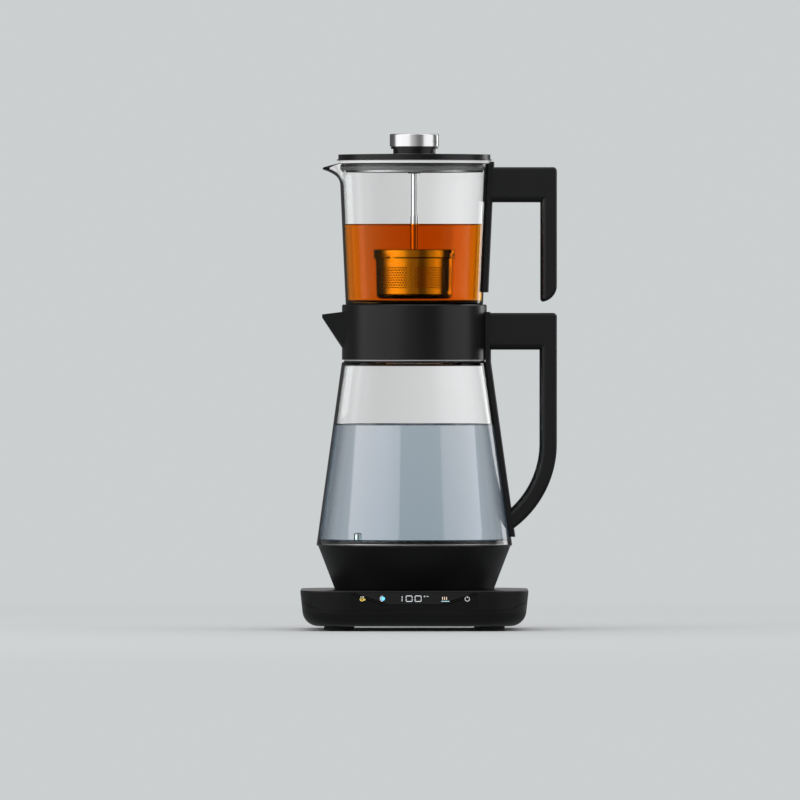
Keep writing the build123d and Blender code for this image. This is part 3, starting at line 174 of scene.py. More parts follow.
# In steel that stands behind glass: the same way round, dark below and grey from above.
seen_by_steel = sky_ramp(
    compass, (0, 0.03), (0.02, 0.03), (0.185, 0.0), (0.215, 0.20), (0.24, 0.7), (0.264, 1.5), (0.294, 2.4),
    (0.35, 2.45), (0.376, 2.1), (0.401, 1.75), (0.426, 1.2), (0.45, 0.66), (0.475, 0.44), (0.50, 0.42),
    (0.522, 0.38), (0.544, 0.17), (0.569, 0.11), (0.594, 0.27), (0.619, 0.6), (0.669, 1.1), (0.70, 1.65),
    (0.731, 1.2), (0.757, 0.04), (0.80, 0.0), (0.845, 0.02), (0.853, 2.0), (0.93, 2.0), (0.94, 0.10),
    (0.98, 0.05), (1, 0.03),
)
not_below = sky_calc("MULTIPLY_ADD", facing["Z"], 2.5, 1.25, clamp=True)
seen_by_steel = sky_blend(1.0, seen_by_steel, not_below, "MULTIPLY")
liquid_tint = sky_blend(past_liquid, (1, 1, 1), (0.92, 1.05, 1.0))
seen_by_steel = sky_blend(1.0, seen_by_steel, liquid_tint, "MULTIPLY")
well_above = sky_calc("MULTIPLY_ADD", facing["Z"], 2.4, -0.4, clamp=True)
seen_by_steel = sky_blend(well_above, seen_by_steel, (0.5, 0.5, 0.5))

behind_glass = sky_calc("GREATER_THAN", rays["Transmission Depth"], 0.5)
seen_in_gloss = sky_blend(behind_glass, seen_in_gloss, seen_by_steel)
by_mirror = sky_calc("GREATER_THAN", rays["Glossy Depth"], 0.5)
shown = sky_blend(by_mirror, seen_in_glass, seen_in_gloss)
clear_path = sky_calc("MAXIMUM", rays["Is Glossy Ray"], rays["Is Transmission Ray"])
shown = sky_blend(clear_path, (room_light,) * 3, shown)
shown = sky_blend(rays["Is Camera Ray"], shown, pale)
background = made(sky, "ShaderNodeBackground", Color=shown, Strength=1.0)
put(sky, "ShaderNodeOutputWorld", Surface=background)


lamp_aim = Vector((0, 0, 0.19))


def softbox(name, azimuth, height, distance, width, tall, radiance):
    """A rectangular lamp that looks at the object. Azimuth is in degrees from the front, + to the right."""
    data = bpy.data.lights.new(name, "AREA")
    data.shape = "RECTANGLE"
    data.size, data.size_y = width, tall
    data.energy = radiance * pi * width * tall
    lamp = bpy.data.objects.new(name, data)
    a = radians(azimuth)
    lamp.location = (distance * sin(a), -distance * cos(a), height)
    lamp.rotation_euler = (lamp_aim - lamp.location).to_track_quat("-Z", "Y").to_euler()
    lamp.visible_camera = lamp.visible_glossy = lamp.visible_transmission = False
    bpy.context.scene.collection.objects.link(lamp)


softbox("left_softbox", -60, 0.55, 2.2, 1.7, 1.9, 1.25)
softbox("right_softbox", 72, 0.45, 2.2, 0.75, 1.7, 1.1)
softbox("top_softbox", 0, 2.3, 0.35, 1.3, 1.3, 0.8)


def new_object(name, mesh):
    """An object of its own for a finished mesh."""
    piece = bpy.data.objects.new(name, mesh)
    bpy.context.scene.collection.objects.link(piece)
    return piece


floor_radius = 3.0
floor_mesh = bpy.data.meshes.new("floor")
rim = [(floor_radius * cos(radians(a)), floor_radius * sin(radians(a)), 0) for a in range(0, 360, 3)]
floor_mesh.from_pydata(rim, [], [tuple(range(len(rim)))])
floor = new_object("floor", floor_mesh)
floor_paint = bpy.data.materials.new("floor_paint")
floor_paint.use_nodes = True
tree = floor_paint.node_tree
tree.nodes.clear()
place = put(tree, "ShaderNodeTexCoord").outputs["Object"]
spread = put(tree, "ShaderNodeVectorMath", {"operation": "LENGTH"}, Vector=place)
fade = put(
    tree, "ShaderNodeMapRange", {"interpolation_type": "SMOOTHSTEP"}, Value=spread.outputs["Value"],
    From_Min=0.35, From_Max=1.6,
)
painted = made(tree, "ShaderNodeBsdfDiffuse", Color=(0.74, 0.76, 0.765))
glow = made(tree, "ShaderNodeEmission", Color=pale)
mixed = put(tree, "ShaderNodeMixShader", Fac=fade.outputs["Result"])
tree.links.new(painted, mixed.inputs[1])
tree.links.new(glow, mixed.inputs[2])
# Painted reflection: glossy rays see the floor as a dark grey glow, not as the lit floor.
painted_dark_reflection = made(tree, "ShaderNodeEmission", Color=(0.20, 0.205, 0.21))  # the floor as gloss mirrors it
mirrored = put(tree, "ShaderNodeMixShader", Fac=put(tree, "ShaderNodeLightPath").outputs["Is Glossy Ray"])
tree.links.new(mixed.outputs[0], mirrored.inputs[1])
tree.links.new(painted_dark_reflection, mirrored.inputs[2])
put(tree, "ShaderNodeOutputMaterial", Surface=mirrored.outputs[0])
floor.visible_transmission = False
floor_mesh.materials.append(floor_paint)


# ======== power base
# Tray and cover are black moulded plastic with a fine spark-eroded grain, screwed together from
# below under the rubber feet. The front carries a glossy window over the display and touch keys.
def new_material(name, **inputs):
    """A material with a Principled shader, and its tree and shader for the nodes that follow."""
    material = bpy.data.materials.new(name)
    material.use_nodes = True
    tree = material.node_tree
    tree.nodes.clear()
    shader = put(tree, "ShaderNodeBsdfPrincipled", **inputs)
    put(tree, "ShaderNodeOutputMaterial", Surface=shader.outputs[0])
    return material, tree, shader


def new_group(name, inputs, outputs):
    """A shader node group with named float inputs and outputs, and its two end nodes."""
    group = bpy.data.node_groups.new(name, "ShaderNodeTree")
    for label, value in inputs.items():
        socket = group.interface.new_socket(label, in_out="INPUT", socket_type="NodeSocketFloat")
        socket.default_value = value
    for label in outputs:
        group.interface.new_socket(label, in_out="OUTPUT", socket_type="NodeSocketFloat")
    return group, put(group, "NodeGroupInput").outputs, put(group, "NodeGroupOutput").inputs


def use_group(tree, group, **inputs):
    """Places a node group in a material with its own values and gives its outputs."""
    return put(tree, "ShaderNodeGroup", {"node_tree": group}, **inputs).outputs


moulded_grain, grain_in, grain_out = new_group(
    "moulded_grain", {"Grain Size": 0.0004, "Smudge Size": 0.06}, ("Height", "Smudge"),
)
place = put(moulded_grain, "ShaderNodeTexCoord").outputs["Object"]
pits = put(
    moulded_grain, "ShaderNodeTexNoise", Vector=place, Detail=2.0,
    Scale=calc(moulded_grain, "DIVIDE", 1.0, grain_in["Grain Size"]),
)
smudges = put(
    moulded_grain, "ShaderNodeTexNoise", Vector=place, Detail=4.0, Roughness=0.6,
    Scale=calc(moulded_grain, "DIVIDE", 1.0, grain_in["Smudge Size"]),
)
moulded_grain.links.new(pits.outputs["Fac"], grain_out["Height"])
moulded_grain.links.new(smudges.outputs["Fac"], grain_out["Smudge"])


def moulding(name, colour, rough, rough_spread, grain, depth, specular=0.3):
    """Moulded plastic or rubber: a fine grain in the surface and a little smudging in its gloss."""
    material, tree, shader = new_material(name, Specular_IOR_Level=specular)
    skin = use_group(tree, moulded_grain, Grain_Size=grain)
    worn = calc(tree, "MULTIPLY_ADD", calc(tree, "SUBTRACT", skin["Smudge"], 0.5), rough_spread, rough)
    tones = ramp(tree, skin["Smudge"], (0.3, colour), (0.7, tuple(c * 1.35 for c in colour)))
    dents = made(tree, "ShaderNodeBump", Strength=0.35, Distance=depth, Height=skin["Height"])
    feed(tree, shader, Roughness=worn, Base_Color=tones, Normal=dents)
    return material


def dress(material, *nodes):
    """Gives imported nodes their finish."""
    for node in nodes:
        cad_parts[node].material_slots[0].material = material


base_plastic = moulding("base_plastic", (0.0045, 0.0045, 0.005), 0.36, 0.12, 0.00035, 0.00003)
rubber = moulding("rubber", (0.008, 0.008, 0.008), 0.75, 0.1, 0.0006, 0.00005, specular=0.25)
dress(base_plastic, "base_tray", "base_cover")
dress(rubber, "front_left_foot", "front_right_foot", "rear_left_foot", "rear_right_foot")


def shape_tree(name, **inputs):
    """A geometry tree with named inputs: a float, an int or a material by the kind of its default."""
    tree = bpy.data.node_groups.new(name, "GeometryNodeTree")
    tree.interface.new_socket("Geometry", in_out="INPUT", socket_type="NodeSocketGeometry")
    for label, value in inputs.items():
        kind = {int: "NodeSocketInt", float: "NodeSocketFloat"}.get(type(value), "NodeSocketMaterial")
        socket = tree.interface.new_socket(label.replace("_", " "), in_out="INPUT", socket_type=kind)
        if value is not None:
            socket.default_value = value
    tree.interface.new_socket("Geometry", in_out="OUTPUT", socket_type="NodeSocketGeometry")
    return tree, put(tree, "NodeGroupInput").outputs, put(tree, "NodeGroupOutput").inputs


def grown(piece, tree, **values):
    """Runs a geometry tree on a piece with its own values and keeps the result as a plain mesh."""
    modifier = piece.modifiers.new(tree.name, "NODES")
    modifier.node_group = tree
    for item in tree.interface.items_tree:
        key = item.name.replace(" ", "_")
        if item.item_type == "SOCKET" and item.in_out == "INPUT" and key in values:
            modifier[item.identifier] = values[key]
    bpy.context.view_layer.update()
    depsgraph = bpy.context.evaluated_depsgraph_get()
    mesh = bpy.data.meshes.new_from_object(piece.evaluated_get(depsgraph), depsgraph=depsgraph)
    piece.modifiers.clear()
    piece.data = mesh
    return piece


def vector(tree, **axes):
    """The output of a Combine XYZ node, its axes by name."""
    return made(tree, "ShaderNodeCombineXYZ", **axes)


def joined(tree, *shapes):
    """Several shapes of a geometry tree as one."""
    node = put(tree, "GeometryNodeJoinGeometry")
    for shape in shapes:
        tree.links.new(shape, node.inputs[0])
    return node.outputs[0]


# Screws: pan heads with a cross recess and their shanks upwards, placed on points.
screw_tree, given, result = shape_tree(
    "screws", Head_Radius=2.8 * mm, Head_Height=1.5 * mm, Shank_Radius=1.5 * mm, Shank_Length=9 * mm,
    Metal=None,
)
screw_node, screw_calc = partial(made, screw_tree), partial(calc, screw_tree)


def raised_by(shape, length, share):
    """A shape of the screw, moved up by a share of one of its lengths."""
    rise = vector(screw_tree, Z=screw_calc("MULTIPLY", length, share))
    return screw_node("GeometryNodeTransform", Geometry=shape, Translation=rise)


head = screw_node(
    "GeometryNodeMeshCylinder", Vertices=24, Radius=given["Head Radius"], Depth=given["Head Height"],
)
head = raised_by(head, given["Head Height"], -0.5)
slot_size = vector(
    screw_tree, X=screw_calc("MULTIPLY", given["Head Radius"], 1.1),
    Y=screw_calc("MULTIPLY", given["Head Radius"], 0.26), Z=given["Head Height"],
)
blade = raised_by(screw_node("GeometryNodeMeshCube", Size=slot_size), given["Head Height"], -1.05)
crossed = screw_node("GeometryNodeTransform", Geometry=blade, Rotation=(0, 0, pi / 2))
recess = put(screw_tree, "GeometryNodeMeshBoolean", {"operation": "DIFFERENCE"}, Mesh_1=head, Mesh_2=blade)
screw_tree.links.new(crossed, recess.inputs["Mesh 2"])
shank = screw_node(
    "GeometryNodeMeshCylinder", Vertices=16, Radius=given["Shank Radius"], Depth=given["Shank Length"],
)
screw = joined(screw_tree, recess.outputs["Mesh"], raised_by(shank, given["Shank Length"], 0.5))
placed = screw_node("GeometryNodeInstanceOnPoints", Points=given["Geometry"], Instance=screw)
solid = screw_node("GeometryNodeRealizeInstances", Geometry=placed)
finished = screw_node("GeometryNodeSetMaterial", Geometry=solid, Material=given["Metal"])
screw_tree.links.new(finished, result["Geometry"])


def screws(name, places, head_height, shank_length, metal):
    """Like screws at places, which are the undersides of their heads, in millimetres."""
    mesh = bpy.data.meshes.new(name)
    mesh.from_pydata([tuple(v * mm for v in p) for p in places], [], [])
    return grown(
        new_object(name, mesh), screw_tree, Head_Height=head_height * mm, Shank_Length=shank_length * mm,
        Metal=metal,
    )


turned_grain, grain_in, grain_out = new_group(
    "turned_grain", {"Fineness": 2500.0, "Streak": 6.0}, ("Lines", "Patch"),
)
grain_calc = partial(calc, turned_grain)
place = put(turned_grain, "ShaderNodeTexCoord").outputs["Object"]
at = put(turned_grain, "ShaderNodeSeparateXYZ", Vector=place).outputs
across, along = grain_calc("MULTIPLY", at["X"], at["X"]), grain_calc("MULTIPLY", at["Y"], at["Y"])
out_from_axis = grain_calc("SQRT", grain_calc("ADD", across, along))
round_axis = grain_calc("ABSOLUTE", grain_calc("ARCTAN2", at["Y"], at["X"]))
wound = vector(
    turned_grain, X=grain_calc("MULTIPLY", out_from_axis, grain_in["Fineness"]),
    Y=grain_calc("MULTIPLY", at["Z"], grain_in["Fineness"]),
    Z=grain_calc("MULTIPLY", round_axis, grain_in["Streak"]),
)
lines = put(turned_grain, "ShaderNodeTexNoise", Vector=wound, Scale=1.0, Detail=3.0, Roughness=0.65)
patch = put(turned_grain, "ShaderNodeTexNoise", Vector=place, Scale=35.0, Detail=3.0)
turned_grain.links.new(lines.outputs["Fac"], grain_out["Lines"])
turned_grain.links.new(patch.outputs["Fac"], grain_out["Patch"])


def turned_metal(name, colour, rough, rough_spread, depth=0.00001, anisotropic=0.0, fineness=2500.0):
    """Metal brushed or polished on the lathe: fine lines round the axis, in its gloss and its surface."""
    material, tree, shader = new_material(name, Metallic=1.0, Anisotropic=anisotropic)
    grain = use_group(tree, turned_grain, Fineness=fineness)
    worn = calc(tree, "MULTIPLY_ADD", calc(tree, "SUBTRACT", grain["Lines"], 0.5), rough_spread, rough)
    worn = calc(tree, "MAXIMUM", worn, 0.03)
    tones = ramp(tree, grain["Patch"], (0.3, tuple(c * 0.93 for c in colour)), (0.7, colour))
    scratches = made(tree, "ShaderNodeBump", Strength=0.25, Distance=depth, Height=grain["Lines"])
    feed(tree, shader, Roughness=worn, Base_Color=tones, Normal=scratches)
    return material


zinc = turned_metal("zinc", (0.55, 0.55, 0.56), 0.38, 0.2, 0.00002)
foot_sides, base_screw_seat = (-57.0, 57.0), 6.7
base_screws = screws(
    "base_screw_set", [(x, y, base_screw_seat) for x in foot_sides for y in foot_sides],
    head_height=2.0, shank_length=19.8, metal=zinc,
)
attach(base_screws, "power_base")
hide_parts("base_screws")

circuit_board = moulding("circuit_board", (0.02, 0.11, 0.045), 0.4, 0.2, 0.002, 0.00002, specular=0.5)
component_plastic = moulding(
    "component_plastic", (0.05, 0.065, 0.11), 0.35, 0.1, 0.001, 0.00001, specular=0.5,
)
lamp_plastic = moulding("lamp_plastic", (0.55, 0.58, 0.6), 0.4, 0.1, 0.001, 0.00001, specular=0.5)
dress(circuit_board, "display_board", "power_board")
dress(component_plastic, "heater_relay", "mains_terminal")
dress(lamp_plastic, "led_display", "touch_pads")

# The window is one piece of gloss black plastic, with the shade of facets painted on it: a painted lighter
# field between two slanting pairs of painted dark lines.
window_gloss, tree, shader = new_material("window_gloss", Specular_IOR_Level=0.14)
at = position(tree)
field_foot, field_half, field_slant = 20.2, 22.0, 2.89  # its lowest height, half width there, run to rise
above = calc(tree, "SUBTRACT", at["Z"], field_foot * mm)
slant = calc(tree, "MULTIPLY_ADD", above, field_slant, field_half * mm)
inside = calc(tree, "SUBTRACT", slant, calc(tree, "ABSOLUTE", at["X"]))
inside = calc(tree, "MINIMUM", inside, calc(tree, "MULTIPLY", above, 8.0))
inside = calc(tree, "MULTIPLY_ADD", inside, 100.0, 0.5, clamp=True)  # 10 mm across the lines, from 0 to 1
# Painted shade of facets: two dark lines along each slant with a light line between, a lighter field inside
# than outside.
painted_facet_shade = ramp(
    tree, inside, (0.17, 0.010), (0.21, 0.0), (0.43, 0.0), (0.46, 0.03), (0.54, 0.03), (0.57, 0.0),
    (0.79, 0.0), (0.83, 0.021),
)
film = use_group(tree, moulded_grain, Grain_Size=0.02, Smudge_Size=0.03)
feed(tree, shader, Base_Color=painted_facet_shade, Roughness=calc(tree, "MULTIPLY_ADD", film["Smudge"], 0.12, 0.10))
dress(window_gloss, "control_panel")

window_top, window_slope, window_front = 30.5, tan(radians(6.0)), 86.5


def on_window(x, z, out):
    """A point on the window's sloping face, out millimetres before it."""
    return Vector((x, -window_front + (window_top - z) * window_slope - out, z)) * mm


def lit_mark(name, shapes, colour, strength):
    """Thin lit shapes on the window, each a closed plate round the points of one outline."""
    marks = bmesh.new()
    for outline in shapes:
        back, front = ([marks.verts.new(on_window(x, z, out)) for x, z in outline] for out in (0.02, 0.07))
        marks.faces.new(front)
        marks.faces.new(list(reversed(back)))
        for n in range(len(outline)):
            m = (n + 1) % len(outline)
            marks.faces.new((back[n], back[m], front[m], front[n]))
    bmesh.ops.recalc_face_normals(marks, faces=marks.faces)
    mesh = bpy.data.meshes.new(name)
    marks.to_mesh(mesh)
    marks.free()
    lit, tree, shader = new_material(
        name, Roughness=0.3, Base_Color=(0.02, 0.02, 0.02), Emission_Strength=strength,
    )
    glow = use_group(tree, moulded_grain, Grain_Size=0.0009)
    tones = ramp(tree, glow["Height"], (0.3, tuple(c * 0.8 for c in colour)), (0.7, colour))
    feed(tree, shader, Emission_Color=tones)
    mesh.materials.append(lit)
    piece = new_object(name, mesh)
    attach(piece, "power_base")


def bar(x0, z0, x1, z1, width):
    """The outline of a straight bar with pointed ends, a little short of the next bar."""
    run = Vector((x1 - x0, z1 - z0))
    along = run.normalized() * width / 2
    side = Vector((-along.y, along.x))
    a, b = Vector((x0, z0)) + along * 0.5, Vector((x1, z1)) - along * 0.5
    return [tuple(p) for p in (a, a + along + side, b - along + side, b, b - along - side, a + along - side)]


def arc(x, z, radius, start, end, width, steps=14):
    """The outline of a ring segment, in degrees from +X."""
    angles = [radians(start + (end - start) * n / steps) for n in range(steps + 1)]
    path = [(radius + width / 2, a) for a in angles] + [(radius - width / 2, a) for a in reversed(angles)]
    return [(x + r * cos(a), z + r * sin(a)) for r, a in path]


row_z, digit_width, digit_height, digit_stroke = 24.8, 4.55, 4.2, 0.42
halves = (digit_width / 2, digit_height / 2) * 2
segments = {  # ends of each bar, in halves of a digit's width and height
    "a": (-1, 1, 1, 1), "b": (1, 1, 1, 0), "c": (1, 0, 1, -1), "d": (-1, -1, 1, -1), "e": (-1, 0, -1, -1),
    "f": (-1, 1, -1, 0),
}
digit_bars = []
for centre, lit_segments in ((-11.6, "bc"), (-4.0, "abcdef"), (2.8, "abcdef")):
    for letter in lit_segments:
        x0, z0, x1, z1 = (share * half for share, half in zip(segments[letter], halves))
        digit_bars.append(bar(centre + x0, row_z + z0, centre + x1, row_z + z1, digit_stroke))
digit_bars += [arc(7.6, row_z + 1.7, 0.40, 0, 350, 0.26), bar(9.0, row_z + 1.9, 10.8, row_z + 1.5, 0.34)]
lit_mark("temperature_digits", digit_bars, (0.9, 0.95, 1.0), 1.2)
tea_x, boil_x, warm_x, power_x = -39.6, -23.7, 22.8, 39.9
cup = [arc(tea_x, row_z - 0.2, 1.5, 180, 360, 0.5), arc(tea_x + 1.8, row_z - 0.7, 0.55, -110, 110, 0.35)]
cup.append(bar(tea_x - 1.6, row_z - 0.2, tea_x + 1.6, row_z - 0.2, 0.45))
lit_mark("tea_mark", cup, (1.0, 0.72, 0.15), 1.3)
steam = [bar(tea_x + n, row_z + 0.5, tea_x + n + 0.3, row_z + 1.9, 0.4) for n in (-1, 0, 1)]
lit_mark("steam_mark", steam, (1.0, 0.95, 0.85), 1.2)
lit_mark("boil_mark", [arc(boil_x, row_z, 0.75, 0, 350, 1.5)], (0.15, 0.6, 1.0), 1.6)
lit_mark("boil_ring", [arc(boil_x, row_z, 2.1, 100, 260, 0.4)], (0.85, 0.95, 1.0), 1.2)
warm = [bar(warm_x + 1.5 * n, row_z - 1.2, warm_x + 1.5 * n, row_z + 1.6, 0.5) for n in (-1, 0, 1)]
lit_mark("warm_mark", warm, (1.0, 0.78, 0.6), 1.2)
warm_shelf = bar(warm_x - 2.8, row_z - 2.0, warm_x + 3.8, row_z - 2.0, 0.5)
lit_mark("warm_base", [warm_shelf], (0.55, 0.95, 1.0), 1.1)
power = [arc(power_x, row_z - 0.2, 1.7, 120, 420, 0.42)]
power.append(bar(power_x, row_z + 0.2, power_x, row_z + 2.2, 0.42))
lit_mark("power_mark", power, (0.9, 0.9, 0.92), 0.9)


# ======== 360 degree connector
# A moulded plug with brass rings in the base, and a socket with ring blades under the kettle, so
# that the kettle can be put down any way round. The blades stay in the socket.
connector_plastic = moulding("connector_plastic", (0.010, 0.010, 0.011), 0.45, 0.15, 0.0004, 0.00003)
brass = turned_metal("brass", (0.72, 0.52, 0.24), 0.28, 0.15)
dress(connector_plastic, "base_connector", "kettle_coupler")
dress(brass, "base_contacts", "coupler_blades")


# ======== kettle foot
# The lower housing is one black moulding, closed from below by a screwed floor. A pressed steel
# plate with its seal is the kettle's floor; the element and its spreader are brazed under it.
housing_plastic = moulding("housing_plastic", (0.0030, 0.0030, 0.0034), 0.38, 0.12, 0.00035, 0.00003)
dress(housing_plastic, "lower_housing", "housing_floor")
screw_circle, housing_screw_seat = 46.0, 28.5
screw_turns = [radians(a) for a in (90, 210, 330)]
housing_screws = screws(
    "housing_screw_set",
    [(screw_circle * cos(a), screw_circle * sin(a), housing_screw_seat) for a in screw_turns],
    head_height=0.9, shank_length=9.0, metal=zinc,
)
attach(housing_screws, "kettle")
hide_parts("housing_screws")


def by_height(tree, foot, top, *stops):
    """A ramp over an object's height between foot and top, in millimetres."""
    span = top - foot
    share = calc(tree, "MULTIPLY_ADD", position(tree)["Z"], 1 / (span * mm), -foot / span, clamp=True)
    return ramp(tree, share, *(((z - foot) / span, tone) for z, tone in stops))


def shaded_by_height(material, foot, top, *stops):
    """Multiplies a material's colour by a ramp over its height, for painted shade in a fold or a painted dark
    line along an edge.
    """
    tree = material.node_tree
    socket = next(n for n in tree.nodes if n.type == "BSDF_PRINCIPLED").inputs["Base Color"]
    own = socket.links[0].from_socket
    tree.links.new(blended(tree, 1.0, own, by_height(tree, foot, top, *stops), "MULTIPLY"), socket)
    return material


polished_steel = turned_metal("polished_steel", (0.66, 0.66, 0.67), 0.10, 0.10, 0.000005, fineness=1500.0)
element_sheath = turned_metal("element_sheath", (0.42, 0.40, 0.38), 0.35, 0.2)
aluminium = turned_metal("aluminium", (0.72, 0.72, 0.73), 0.35, 0.2, 0.00002)
# Painted shade: the plate's edge below its top face is painted black, where it sits in the seal.
plate_steel = shaded_by_height(
    turned_metal("plate_steel", (0.66, 0.66, 0.67), 0.10, 0.10, 0.000005, fineness=1500.0),
    66.0, 70.0, (67.90, 0.01), (67.95, 1.0),
)
dress(plate_steel, "heating_plate")
dress(polished_steel, "temperature_probe")
dress(element_sheath, "heating_element")
dress(aluminium, "heat_spreader")

neck_silicone, tree, shader = new_material("neck_silicone", Roughness=0.4)
# Painted shade: the seal is white, painted near black below 204.1 mm where shade falls under the collar.
feed(tree, shader, Base_Color=by_height(tree, 200.0, 210.0, (204.1, 0.004), (204.5, 0.85)))
dress(neck_silicone, "neck_seal")
plate_silicone, tree, shader = new_material("plate_silicone", Specular_IOR_Level=0.4)
cloud = use_group(tree, moulded_grain, Grain_Size=0.0008, Smudge_Size=0.02)
feed(
    tree, shader, Roughness=calc(tree, "MULTIPLY_ADD", cloud["Height"], 0.15, 0.25),
    Base_Color=by_height(tree, 60.0, 70.0, (64.8, 0.004), (65.0, 0.55), (65.3, 0.55), (65.5, 0.004)),
    Metallic=by_height(tree, 60.0, 70.0, (64.8, 0.0), (65.0, 1.0), (65.3, 1.0), (65.5, 0.0)),
)
dress(plate_silicone, "plate_seal")


# ======== kettle glass and water
# A blown borosilicate body, open at both ends: a cone with a ground lower edge in the plate's seal
# and a drawn-in neck under the collar. The water stands in it, and bends what is seen behind it.
ring_steps = 192


def rounded(points, corners, steps=5):
    """An open line of (r, z) points with an arc in place of each corner given as {index: radius}."""
    line = []
    for n, point in enumerate(points):
        radius = corners.get(n, 0)
        if not radius:
            line.append(point)
            continue
        here, back, on = Vector(point), Vector(points[n - 1]), Vector(points[n + 1])
        a, b = (back - here).normalized(), (on - here).normalized()
        half = acos(max(-1, min(1, a.dot(b)))) / 2
        centre = here + (a + b).normalized() * radius / sin(half)
        first, last = here + a * radius / tan(half), here + b * radius / tan(half)
        u, v = first - centre, last - centre
        spread_angle = pi - 2 * half
        for k in range(steps + 1):
            share = k / steps
            mix = (u * sin((1 - share) * spread_angle) + v * sin(share * spread_angle)) / sin(spread_angle)
            line.append(tuple(centre + mix))
    return line


def loops(name, rings, material, closed=False):
    """Skins a list of rings of points, each a closed ring or one point at a pole, and shades it smooth."""
    skin = bmesh.new()
    rows = [[skin.verts.new(p) for p in ring] for ring in rings]
    pairs = list(zip(rows, rows[1:])) + ([(rows[-1], rows[0])] if closed else [])
    for low, high in pairs:
        count = max(len(low), len(high))
        for n in range(count):
            m = (n + 1) % count
            corners = [low[n % len(low)], low[m % len(low)], high[m % len(high)], high[n % len(high)]]
            skin.faces.new(list(dict.fromkeys(corners)))
    bmesh.ops.recalc_face_normals(skin, faces=skin.faces)
    mesh = bpy.data.meshes.new(name)
    skin.to_mesh(mesh)
    skin.free()
    mesh.shade_smooth()
    mesh.set_sharp_from_angle(angle=radians(40))
    mesh.materials.append(material)
    return new_object(name, mesh)


def ring_at(r, z, steps=ring_steps):
    """A ring of points about the axis, or the pole itself where r is 0, from millimetres."""
    if r < 1e-6:
        return [(0, 0, z * mm)]
    turns = [2 * pi * n / steps for n in range(steps)]
    return [(r * mm * cos(a), r * mm * sin(a), z * mm) for a in turns]


def clear_stuff(name, ior, tint, density, edge, wave=0.0, outside_only=False):
    """Glass or liquid: clear, with its colour in its depth, and painted shade where it is seen along its
    surface.
    """
    material, tree, shader = new_material(
        name, Roughness=0.0, IOR=ior, Transmission_Weight=1.0, Specular_Tint=(0.06, 0.06, 0.06),
    )
    along = put(tree, "ShaderNodeLayerWeight").outputs["Facing"]
    if outside_only:
        first = calc(tree, "LESS_THAN", put(tree, "ShaderNodeLightPath").outputs["Transmission Depth"], 0.5)
        along = calc(tree, "MULTIPLY", along, first)
    # Painted shade: the colour darkens by a ramp where the surface is seen edge-on.
    feed(tree, shader, Base_Color=ramp(tree, along, *edge))
    depth = put(tree, "ShaderNodeVolumeAbsorption", Color=tint, Density=density)
    tree.links.new(depth.outputs[0], tree.nodes["Material Output"].inputs["Volume"])
    if wave:
        place = put(tree, "ShaderNodeTexCoord").outputs["Object"]
        uneven = put(tree, "ShaderNodeTexNoise", Vector=place, Scale=22.0, Detail=1.0)
        ripples = put(tree, "ShaderNodeBump", Strength=1.0, Distance=wave, Height=uneven.outputs["Fac"])
        feed(tree, shader, Normal=ripples.outputs[0])
    return material


def lets_light_through(piece):
    """Lamps shine through glass and liquid on to what stands behind."""
    piece.visible_shadow = False
    return piece


# The edge ramps below are painted shade: dark edges on the glass, painted dark and light bands across the
# water.
glass = clear_stuff(
    "glass", 1.5, (0.60, 0.68, 0.74), 20.0,
    ((0, 1.0), (0.73, 1.0), (0.77, 0.72), (0.81, 0.33), (0.86, 0.03), (1, 0.0)),
    wave=0.00003, outside_only=True,
)
water_clear = clear_stuff(
    "water_clear", 1.05, (0.36, 0.53, 0.64), 8.0,
    (
        (0, 1.0), (0.175, 1.0), (0.195, (0.75, 0.77, 0.79)), (0.215, (0.55, 0.58, 0.62)),
        (0.232, (0.48, 0.52, 0.57)), (0.25, (0.12, 0.15, 0.19)), (0.265, (0.01, 0.02, 0.04)),
        (0.285, (0.01, 0.02, 0.04)), (0.32, 0.9), (0.96, 0.9), (1, (0.04, 0.05, 0.06)),
    ),
)
plate_z, water_level, wetting = 68.0, 155.2, 0.05
# Painted shade: a dark line close over the plate, a painted reflection of the plate's rim, and a painted dark
# line where the water's edge creeps up the wall.
shaded_by_height(water_clear, 65.0, 75.0, (plate_z + 0.75, (0.02, 0.03, 0.04)), (plate_z + 0.81, 1.0))
shaded_by_height(
    water_clear, 150.0, 160.0, (water_level + 0.75, 1.0), (water_level + 0.81, (0.03, 0.05, 0.08)),
)

kettle_base_z, shoulder_z, kettle_base_radius, kettle_top_radius = 63.5, 203.5, 74.5, 55.1
kettle_wall, neck_radius, neck_top_z = 2.4, 50.6, 214.0
kettle_slope = (kettle_top_radius - kettle_base_radius) / (shoulder_z - kettle_base_z)


def kettle_inner(z):
    """Inner radius of the kettle glass at height z."""
    return kettle_base_radius + (z - kettle_base_z) * kettle_slope - kettle_wall


kettle_line = rounded(
    [
        (neck_radius - kettle_wall, neck_top_z), (neck_radius - kettle_wall, shoulder_z - kettle_wall),
        (kettle_inner(shoulder_z - kettle_wall), shoulder_z - kettle_wall),
        (kettle_inner(kettle_base_z), kettle_base_z), (kettle_base_radius, kettle_base_z),
        (kettle_top_radius, shoulder_z), (neck_radius, shoulder_z), (neck_radius, neck_top_z),
    ],
    {1: 0.8, 2: 1.2, 3: 0.5, 4: 1.2, 5: 1.6, 6: 0.8},
)
cone_cuts = 12
dense_line = []
for a, b in zip(kettle_line, kettle_line[1:] + kettle_line[:1]):
    cuts = cone_cuts if abs(a[1] - b[1]) > 40 else 1
    dense_line += [(a[0] + (b[0] - a[0]) * k / cuts, a[1] + (b[1] - a[1]) * k / cuts) for k in range(cuts)]
kettle_glass = loops("kettle_body_glass", [ring_at(*p) for p in dense_line], glass, closed=True)
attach(lets_light_through(kettle_glass), "kettle")
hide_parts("kettle_glass")


